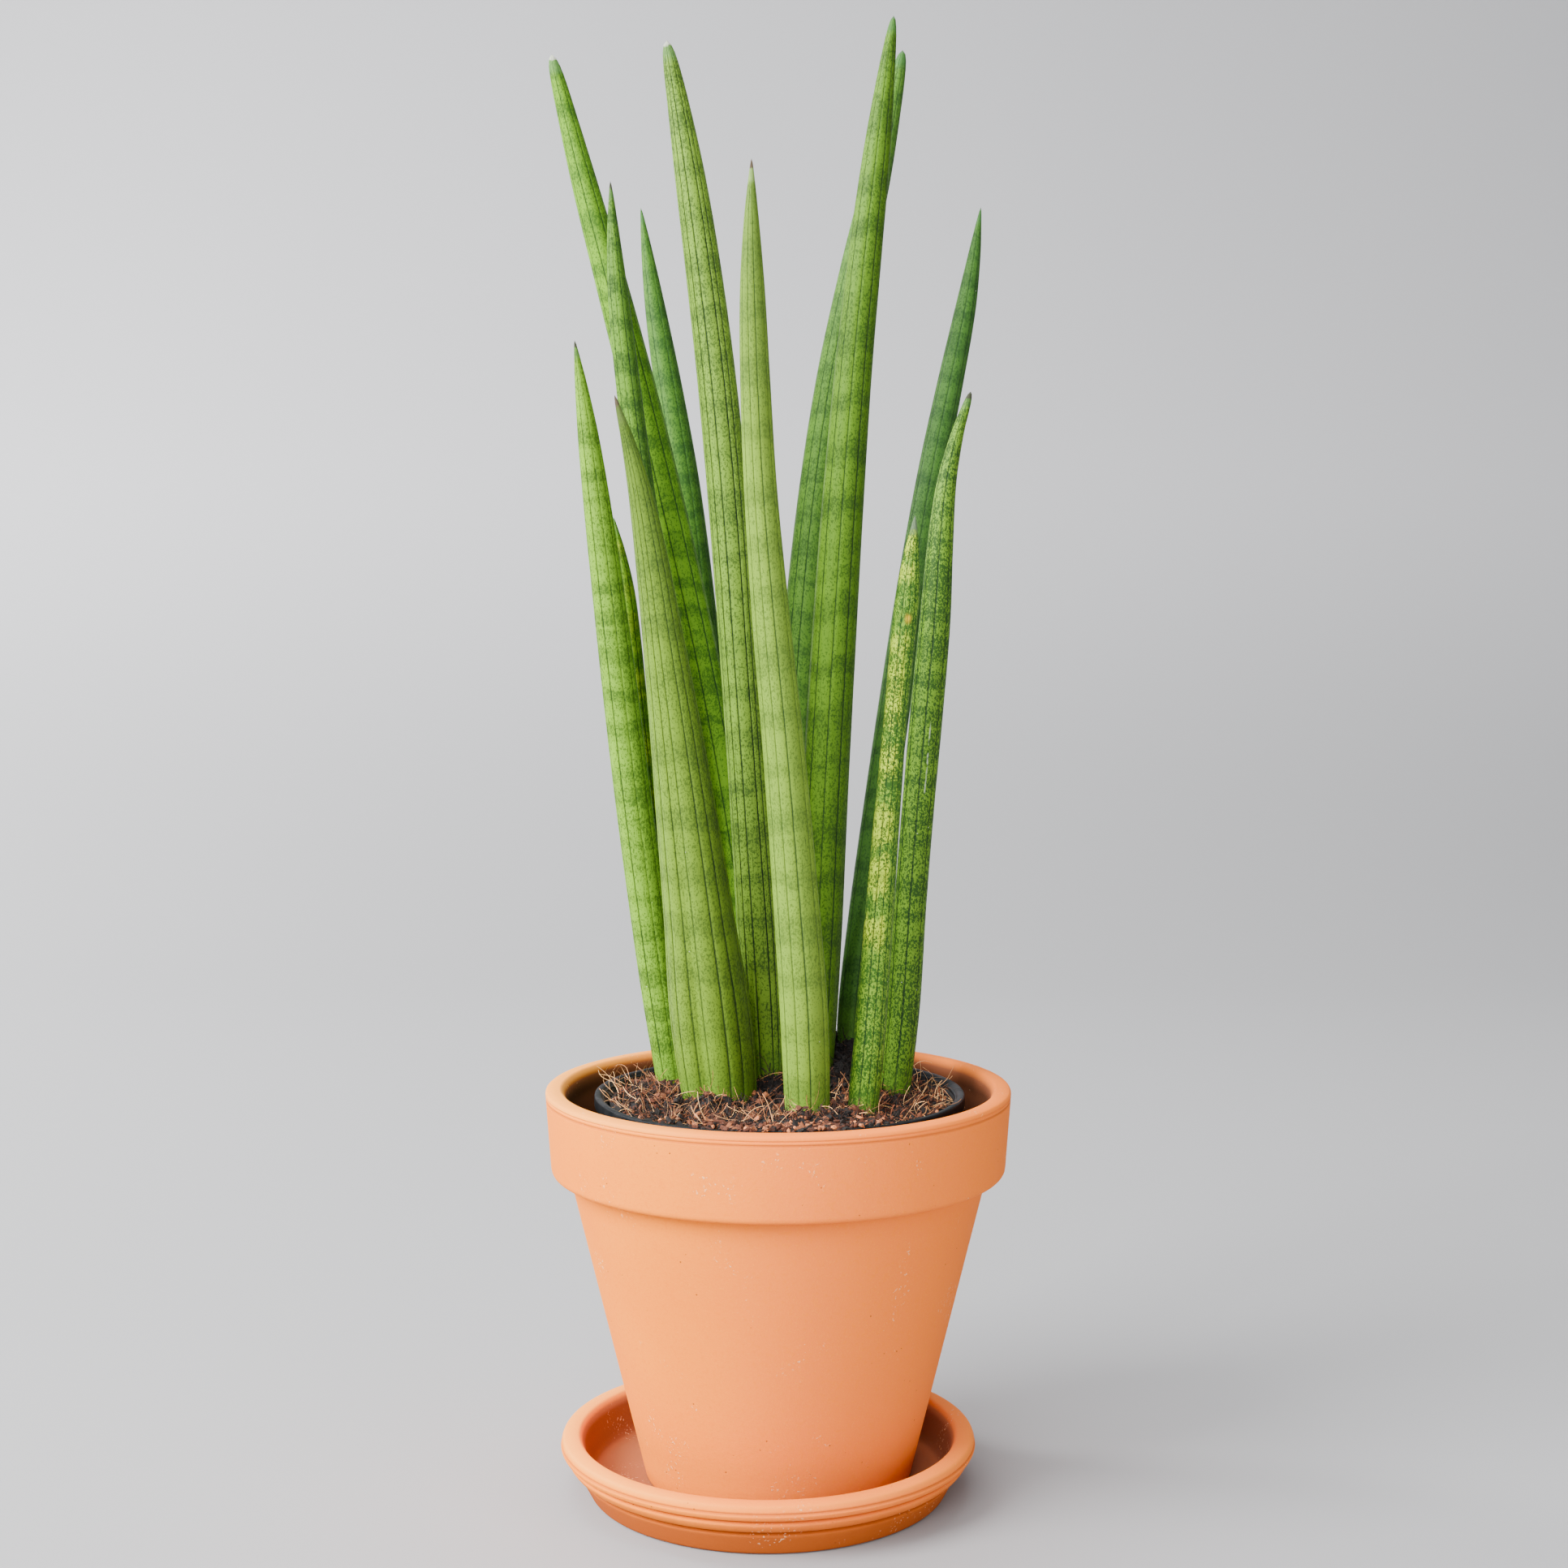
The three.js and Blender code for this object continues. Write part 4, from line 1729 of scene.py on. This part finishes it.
    def dry_and_unshaded(self, ground: Vector) -> float:
        """How dry and unshaded the mix is: wet and in painted shade between the leaves at the back, and dry
        and open elsewhere.

        Args:
            ground: A point of it.

        Returns:
            0 if it is wet and shaded and 1 if it is dry and open.
        """
        wet_x, wet_y, spread = self.WET_SHADE
        from_wet = math.hypot(ground.x / MM - wet_x, ground.y / MM - wet_y) / spread
        return 0.15 + 0.85 * smooth_step(0.55, 1.2, from_wet)

    def crumb(self, kind: int) -> bpy.types.Mesh:
        """Models one crumb: a small faceted lump pulled out of shape.

        Args:
            kind: Which of the crumbs.

        Returns:
            Its mesh, about a unit in radius.
        """
        deselect()
        bpy.ops.mesh.primitive_ico_sphere_add(subdivisions=1, radius=1.0)
        piece = bpy.context.object
        offset = Vector((kind * 3.7, kind * 1.3, 0))
        shift_points(piece, lambda point: point * (1 + 0.75 * noise.noise(point * 1.5 + offset)))
        return take_mesh(piece)

    def scatter_shreds(self) -> None:
        """Scatters short curled shreds of fibre among the crumbs."""
        draw = random.Random(self.seed + 2)
        shapes = [self.fibre(50 + kind, steps=5, girth=0.034, curl=0.3) for kind in range(8)]
        pile = Pile("mix_shreds")
        for _ in range(self.shreds):
            ground = self.spot(draw, self.reach - 1.5 * MM, 0.0)
            length = draw.uniform(2.5, 6.5) * MM
            turn = self.rolled(draw, draw.uniform(0, FULL_TURN), draw.gauss(0.0, 0.5))
            lift = draw.random()
            place = Matrix.LocRotScale(ground + Vector((0, 0, lift * 1.6 * MM)), turn, (length,) * 3)
            # Painted shade: shreds that lie low or in a hollow, or among the leaves at the back, get darker
            # shades.
            shade = draw.betavariate(1.3, 1.5) * (0.2 + 0.8 * lift * self.open_sky(ground))
            pile.add(draw.choice(shapes), place, shade * self.dry_and_unshaded(ground))
        coir = Coir("coir_shred", tint(0.008, 0.003, 0.001), tint(0.24, 0.062, 0.019), tint(0.92, 0.40, 0.14))
        complete(pile.make(), "mix_shreds", 60.0, coir, Slot.COIR)

    def scatter_fibres(self) -> None:
        """Scatters loose fibres over the mix, some standing up and some over the pot's rim."""
        draw = random.Random(self.seed + 1)
        shapes = [self.fibre(kind) for kind in range(10)]
        pile = Pile("mix_fibres")
        for _ in range(self.fibres):
            ground = self.spot(draw, self.reach - 2.0 * MM, 0.3 * MM)
            length = draw.uniform(4, 14) * MM
            tilt = abs(draw.gauss(0.0, 0.5 if draw.random() < 0.15 else 0.14))
            turn = self.rolled(draw, draw.uniform(0, FULL_TURN), -tilt)
            lift = draw.uniform(-0.3, 1.6) * MM
            place = Matrix.LocRotScale(ground + Vector((0, 0, lift)), turn, (length,) * 3)
            # Painted shade: fibres among the leaves at the back get darker shades.
            pile.add(draw.choice(shapes), place, draw.betavariate(1.2, 1.4) * self.dry_and_unshaded(ground) ** 0.5)
        for _ in range(self.strays):
            pile.add(draw.choice(shapes), self.strayed(draw), draw.uniform(0.6, 1.0))
        coir = Coir("coir_fibre", tint(0.03, 0.011, 0.005), tint(0.34, 0.115, 0.038), tint(0.95, 0.52, 0.21))
        complete(pile.make(), "mix_fibres", 60.0, coir, Slot.COIR)

    def strayed(self, draw: random.Random) -> Matrix:
        """Places a long fibre by the wall so that it leans out over the rim, mostly left and right.

        Args:
            draw: The random draw.

        Returns:
            The placing.
        """
        angle = draw.choice((0.0, 0.0, math.pi, math.pi, -math.pi / 2)) + draw.gauss(0.0, 0.4)
        foot = self.by_wall(angle, self.reach - draw.uniform(0, 6) * MM, self.level_z + 2 * MM)
        turn = self.rolled(draw, angle + draw.gauss(0.0, 0.8), -draw.uniform(0.2, 1.2))
        return Matrix.LocRotScale(foot, turn, (draw.uniform(8, 15) * MM,) * 3)

    @staticmethod
    def rolled(draw: random.Random, heading: float, dip: float) -> Quaternion:
        """Turns a fibre that lies along X to a heading and a dip, rolled by chance about its length."""
        aim = Quaternion((0, 0, 1), heading) @ Quaternion((0, 1, 0), dip)
        return aim @ Quaternion((1, 0, 0), draw.uniform(0, FULL_TURN))

    def fibre(self, kind: int, steps: int = 9, girth: float = 0.0085, curl: float = 0.15) -> bpy.types.Mesh:
        """Models one fibre: a thin, wandering, three-sided thread.

        Args:
            kind: Which of the fibres.
            steps: Segments along it.
            girth: Its radius, as a share of its length.
            curl: How sharply it bends.

        Returns:
            Its mesh, a unit long from the origin along X.
        """
        draw = random.Random(100 + kind)
        deselect()
        along_x = (0, math.pi / 2, 0)
        bpy.ops.mesh.primitive_circle_add(vertices=3, radius=girth, fill_type="NGON", rotation=along_x)
        piece = bpy.context.object
        bpy.ops.object.transform_apply(location=True, rotation=True, scale=True)
        heading = Vector((1, 0, 0))
        bend = Vector((0, draw.gauss(0, curl), draw.gauss(0, curl)))
        with editing("FACE"):
            for _ in range(steps):
                bend += Vector((0, draw.gauss(0, 0.6 * curl), draw.gauss(0, 0.6 * curl)))
                heading = (heading + bend).normalized()
                bpy.ops.mesh.extrude_region_move(TRANSFORM_OT_translate={"value": heading / steps})
        return take_mesh(piece)


class Pile:
    """Many placed copies of small meshes, gathered into one piece, each copy with its own shade."""

    def __init__(self, name: str) -> None:
        """Starts an empty pile.

        Args:
            name: Its name.
        """
        self.name = name
        self.points: list[Vector] = []
        self.faces: list[list[int]] = []
        self.shades: list[float] = []

    def add(self, shape: bpy.types.Mesh, place: Matrix, shade: float) -> None:
        """Adds a copy.

        Args:
            shape: What is copied.
            place: Where it goes.
            shade: Its shade, 0 to 1.
        """
        start = len(self.points)
        self.points += [place @ vertex.co for vertex in shape.vertices]
        self.faces += [[start + index for index in face.vertices] for face in shape.polygons]
        self.shades += [shade] * len(shape.vertices)

    def make(self) -> bpy.types.Object:
        """Makes the pile one object.

        Returns:
            The object.
        """
        mesh = bpy.data.meshes.new(self.name)
        mesh.from_pydata(self.points, [], self.faces)
        mesh.attributes.new(Coir.SHADE, "FLOAT", "POINT").data.foreach_set("value", self.shades)
        return add_object(self.name, mesh)


# ---- Stage ----


@dataclass
class Studio:
    """The floor, the backdrop, the lights and the camera.

    Attributes:
        camera_place: Where the camera stands.
        pitch: How far it looks down, in degrees.
        lens_px: Its focal length in pixels of the picture.
        picture_px: The picture's width and height in pixels.
        sensor: Width and height of its film, in millimetres.
        sweep_r: Radius of the floor's sweep up into the backdrop.
        sweep_steps: Steps in that sweep.
        floor_size: The floor's width and depth.
        floor_place: Its middle, a hair under the saucer.
        wall: Height of the backdrop above the sweep.
    """

    camera_place: tuple[float, float, float] = (0.0062, -0.883, 0.340)
    pitch: float = 4.19
    lens_px: float = 2841.0
    picture_px: float = 1932.0
    sensor: float = 36.0
    sweep_r: float = 2.0
    sweep_steps: int = 24
    floor_size: tuple[float, float] = (9.0, 4.0)
    floor_place: tuple[float, float, float] = (0, -0.8, -0.2 * MM)
    wall: float = 3.0

    def build(self) -> None:
        """Sets the stage."""
        self.floor()
        self.lights()
        self.camera()

    def camera(self) -> None:
        """Adds the camera."""
        data = bpy.data.cameras.new("camera")
        data.sensor_width = self.sensor
        data.sensor_height = self.sensor
        data.lens = self.lens_px / self.picture_px * self.sensor
        data.clip_start = 10 * MM
        camera = add_object("camera", data)
        camera.location = self.camera_place
        camera.rotation_euler = (math.radians(90 - self.pitch), 0, 0)
        bpy.context.scene.camera = camera

    def floor(self) -> None:
        """Adds the pale floor, swept up behind into a backdrop."""
        deselect()
        bpy.ops.mesh.primitive_plane_add(size=1.0, location=(0, 0, 0))
        piece = bpy.context.object
        piece.scale = (*self.floor_size, 1.0)
        piece.location = self.floor_place
        settle(piece, "studio_floor")
        bpy.ops.object.mode_set(mode="EDIT")
        bpy.ops.mesh.select_mode(type="EDGE")
        bpy.ops.mesh.select_all(action="DESELECT")
        bpy.ops.object.mode_set(mode="OBJECT")
        back = max(vertex.co.y for vertex in piece.data.vertices)
        for edge in piece.data.edges:
            edge.select = all(piece.data.vertices[index].co.y > back - 0.01 for index in edge.vertices)
        bpy.ops.object.mode_set(mode="EDIT")
        for step in range(self.sweep_steps):
            low = step / self.sweep_steps * math.pi / 2
            high = (step + 1) / self.sweep_steps * math.pi / 2
            along = self.sweep_r * (math.sin(high) - math.sin(low))
            up = self.sweep_r * (math.cos(low) - math.cos(high))
            move = (0, along, up)
            bpy.ops.mesh.extrude_edges_move(TRANSFORM_OT_translate={"value": move})
        bpy.ops.mesh.extrude_edges_move(TRANSFORM_OT_translate={"value": (0, 0, self.wall)})
        bpy.ops.object.mode_set(mode="OBJECT")
        bpy.ops.object.shade_smooth()
        bench = Bench("studio_paper")
        place = bench.place()
        mottle = bench.noise(place, 0.8) * 0.1
        rise = bench.parts(place)[2].rise(0.0, 0.6)
        colour = bench.mix(rise * 0.9 + mottle, tint(0.30, 0.30, 0.308), tint(0.46, 0.46, 0.475))
        dress(piece, bench.finish(Base_Color=colour, Roughness=0.95))

    def lights(self) -> None:
        """Adds the soft lights and a dim, even surround."""
        self.light("key", (-1.7, -1.0, 1.45), (0.0, 0.0, 0.25), 1.3, 172.0)
        self.light("front", (-0.7, -2.1, 1.4), (0.0, 0.0, 0.25), 1.8, 92.0)
        self.light("right", (1.9, -1.4, 0.6), (0.0, 0.0, 0.12), 1.2, 27.0)
        self.light("top", (-0.3, 0.3, 2.2), (0.0, 0.1, 0.2), 1.6, 50.0)
        self.light("wall", (-2.0, 0.8, 1.3), (-0.7, 2.8, 0.4), 1.0, 135.0)
        world = bpy.data.worlds.new("surround")
        world.use_nodes = True
        background = world.node_tree.nodes["Background"]
        background.inputs["Color"].default_value = tint(0.95, 0.97, 1.0)
        background.inputs["Strength"].default_value = 0.22
        bpy.context.scene.world = world

    def light(
        self,
        name: str,
        place: tuple[float, float, float],
        target: tuple[float, float, float],
        size: float,
        watts: float,
    ) -> None:
        """Adds a square soft light.

        Args:
            name: Its name.
            place: Where it hangs.
            target: What it faces.
            size: Its side.
            watts: Its power.
        """
        data = bpy.data.lights.new(name, "AREA")
        data.size = size
        data.energy = watts
        lamp = add_object(name, data)
        lamp.location = place
        aim = Vector(target) - Vector(place)
        lamp.rotation_euler = aim.to_track_quat("-Z", "Y").to_euler()


# ---- The plant ----

LINE_REACH = 0.34 * MM  # half the width of a groove line
# Middle and half length of each cream zone of the banded leaf, from the top down.
CREAM_ZONES = (
    (367 * MM, 4.0 * MM),
    (355.5 * MM, 1.5 * MM),
    (328 * MM, 2.5 * MM),
    (311 * MM, 11 * MM),
    (285 * MM, 7.5 * MM),
    (262 * MM, 8 * MM),
    (243 * MM, 6 * MM),
    (221 * MM, 5 * MM),
)


def leaves(courses: dict[str, Course]) -> list[Leaf]:
    """The thirteen leaves with their own colours.

    Args:
        courses: The leaves' courses, for the heights of their ends.

    Returns:
        The leaves.
    """

    def leaf(
        name: str, slot: Slot, ribs: int, seed: int, light: Colour, dark: Colour, **more: object
    ) -> Leaf:
        """Describes one leaf, with a finish fitted to its course.

        Args:
            name: Its node's name, without the first word.
            slot: Its slot in the record.
            ribs: Strips between its grooves.
            seed: Seeds its grooves and shifts its pattern.
            light: The ground between its speckles.
            dark: Its speckles and bands.
            more: Other fields of the leaf or of its finish.

        Returns:
            The leaf.
        """
        node = "leaf_" + name
        course = courses[node]
        shape = {key: more.pop(key) for key in ("channel", "relief") if key in more}
        girth = FULL_TURN * course.at(course.foot_z + 0.4 * (course.tip_z - course.foot_z)).r
        skin = LeafSkin(
            name="skin_" + name,
            light=light,
            dark=dark,
            tip_z=course.tip_z,
            foot_z=course.foot_z,
            line_reach=LINE_REACH * ribs / girth,
            phase=float(seed),
            **more,
        )
        return Leaf(node, course, skin, slot, ribs, seed, **shape)

    green, pale, blue, banded = Slot.LEAF_GREEN, Slot.LEAF_PALE, Slot.LEAF_BLUE, Slot.LEAF_BANDED
    return [
        leaf("left_short", green, 9, 11, tint(0.165, 0.335, 0.016), tint(0.022, 0.062, 0.006)),
        leaf("left_tall", green, 9, 12, tint(0.135, 0.305, 0.010), tint(0.024, 0.074, 0.008), tip=Tip.FLECK),
        leaf("left_middle", green, 9, 13, tint(0.105, 0.235, 0.016), tint(0.012, 0.040, 0.006), deeper=0.6),
        leaf(
            "left_back", blue, 8, 14, tint(0.070, 0.185, 0.018), tint(0.016, 0.056, 0.010),
            line=0.6, tip=Tip.GREEN,
        ),
        leaf(
            "centre_tall", green, 12, 15, tint(0.150, 0.275, 0.022), tint(0.018, 0.044, 0.009),
            speckle=0.52, banding=0.55, line=0.95, pitch=18 * MM, tip=Tip.FLECK, relief=0.04, deeper=0.15,
        ),
        leaf(
            "front_wide", pale, 15, 16, tint(0.150, 0.266, 0.018), tint(0.032, 0.064, 0.012),
            banding=0.55, speckle=0.4, pitch=22 * MM, channel=(-1.9, 0.2), tip=Tip.BROWN,
            deeper=0.3, crown=0.4,
        ),
        leaf(
            "left_small", banded, 9, 17, tint(0.150, 0.310, 0.010), tint(0.030, 0.080, 0.008),
            cream=0.8, tip=Tip.GREEN,
        ),
        leaf(
            "front_pale", pale, 10, 18, tint(0.168, 0.290, 0.024), tint(0.046, 0.092, 0.014),
            banding=0.6, speckle=0.35, pitch=20 * MM, tip=Tip.RINGED, deeper=0.25, crown=0.4,
        ),
        leaf(
            "right_tall", green, 9, 19, tint(0.084, 0.186, 0.007), tint(0.013, 0.040, 0.004),
            pitch=21 * MM, banding=0.75, tip=Tip.GREEN,
        ),
        leaf(
            "right_behind", blue, 9, 20, tint(0.085, 0.205, 0.018), tint(0.018, 0.056, 0.010),
            banding=0.7, tip=Tip.GREEN,
        ),
        leaf(
            "right_back", blue, 8, 21, tint(0.045, 0.130, 0.016), tint(0.013, 0.046, 0.009),
            line=0.6, tip=Tip.GREEN,
        ),
        leaf(
            "right_banded", banded, 9, 22, tint(0.165, 0.310, 0.020), tint(0.022, 0.076, 0.009),
            speckle=1.0, banding=0.55, pitch=12 * MM, tip=Tip.GREY, cream_zones=CREAM_ZONES, deeper=0.15,
            scar=Scar(0.25, 336 * MM, 341.5 * MM, 30 * MM, 0.4, tint(0.55, 0.36, 0.01)),
        ),
        leaf(
            "right_hooked", green, 9, 23, tint(0.118, 0.245, 0.014), tint(0.014, 0.046, 0.007),
            speckle=0.9, banding=0.65, pitch=13 * MM, deeper=0.05,
            scar=Scar(0.3, 268 * MM, 300 * MM, 15 * MM),
        ),
    ]


def main() -> None:
    """Builds the plant on its stage and reports each piece."""
    logging.basicConfig(level=logging.INFO, format="%(name)s %(message)s")
    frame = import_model()
    nodes = frame["nodes"]
    courses = {name: Course(node) for name, node in nodes.items() if name.startswith("leaf_")}

    Studio().build()
    Saucer().build()
    ClayPot().build()
    NurseryPot().build()
    for leaf in leaves(courses):
        leaf.build()
    PottingMix(courses).build()
    dress(nodes["rhizome"], RhizomeSkin().make())


if __name__ == "__main__":
    main()
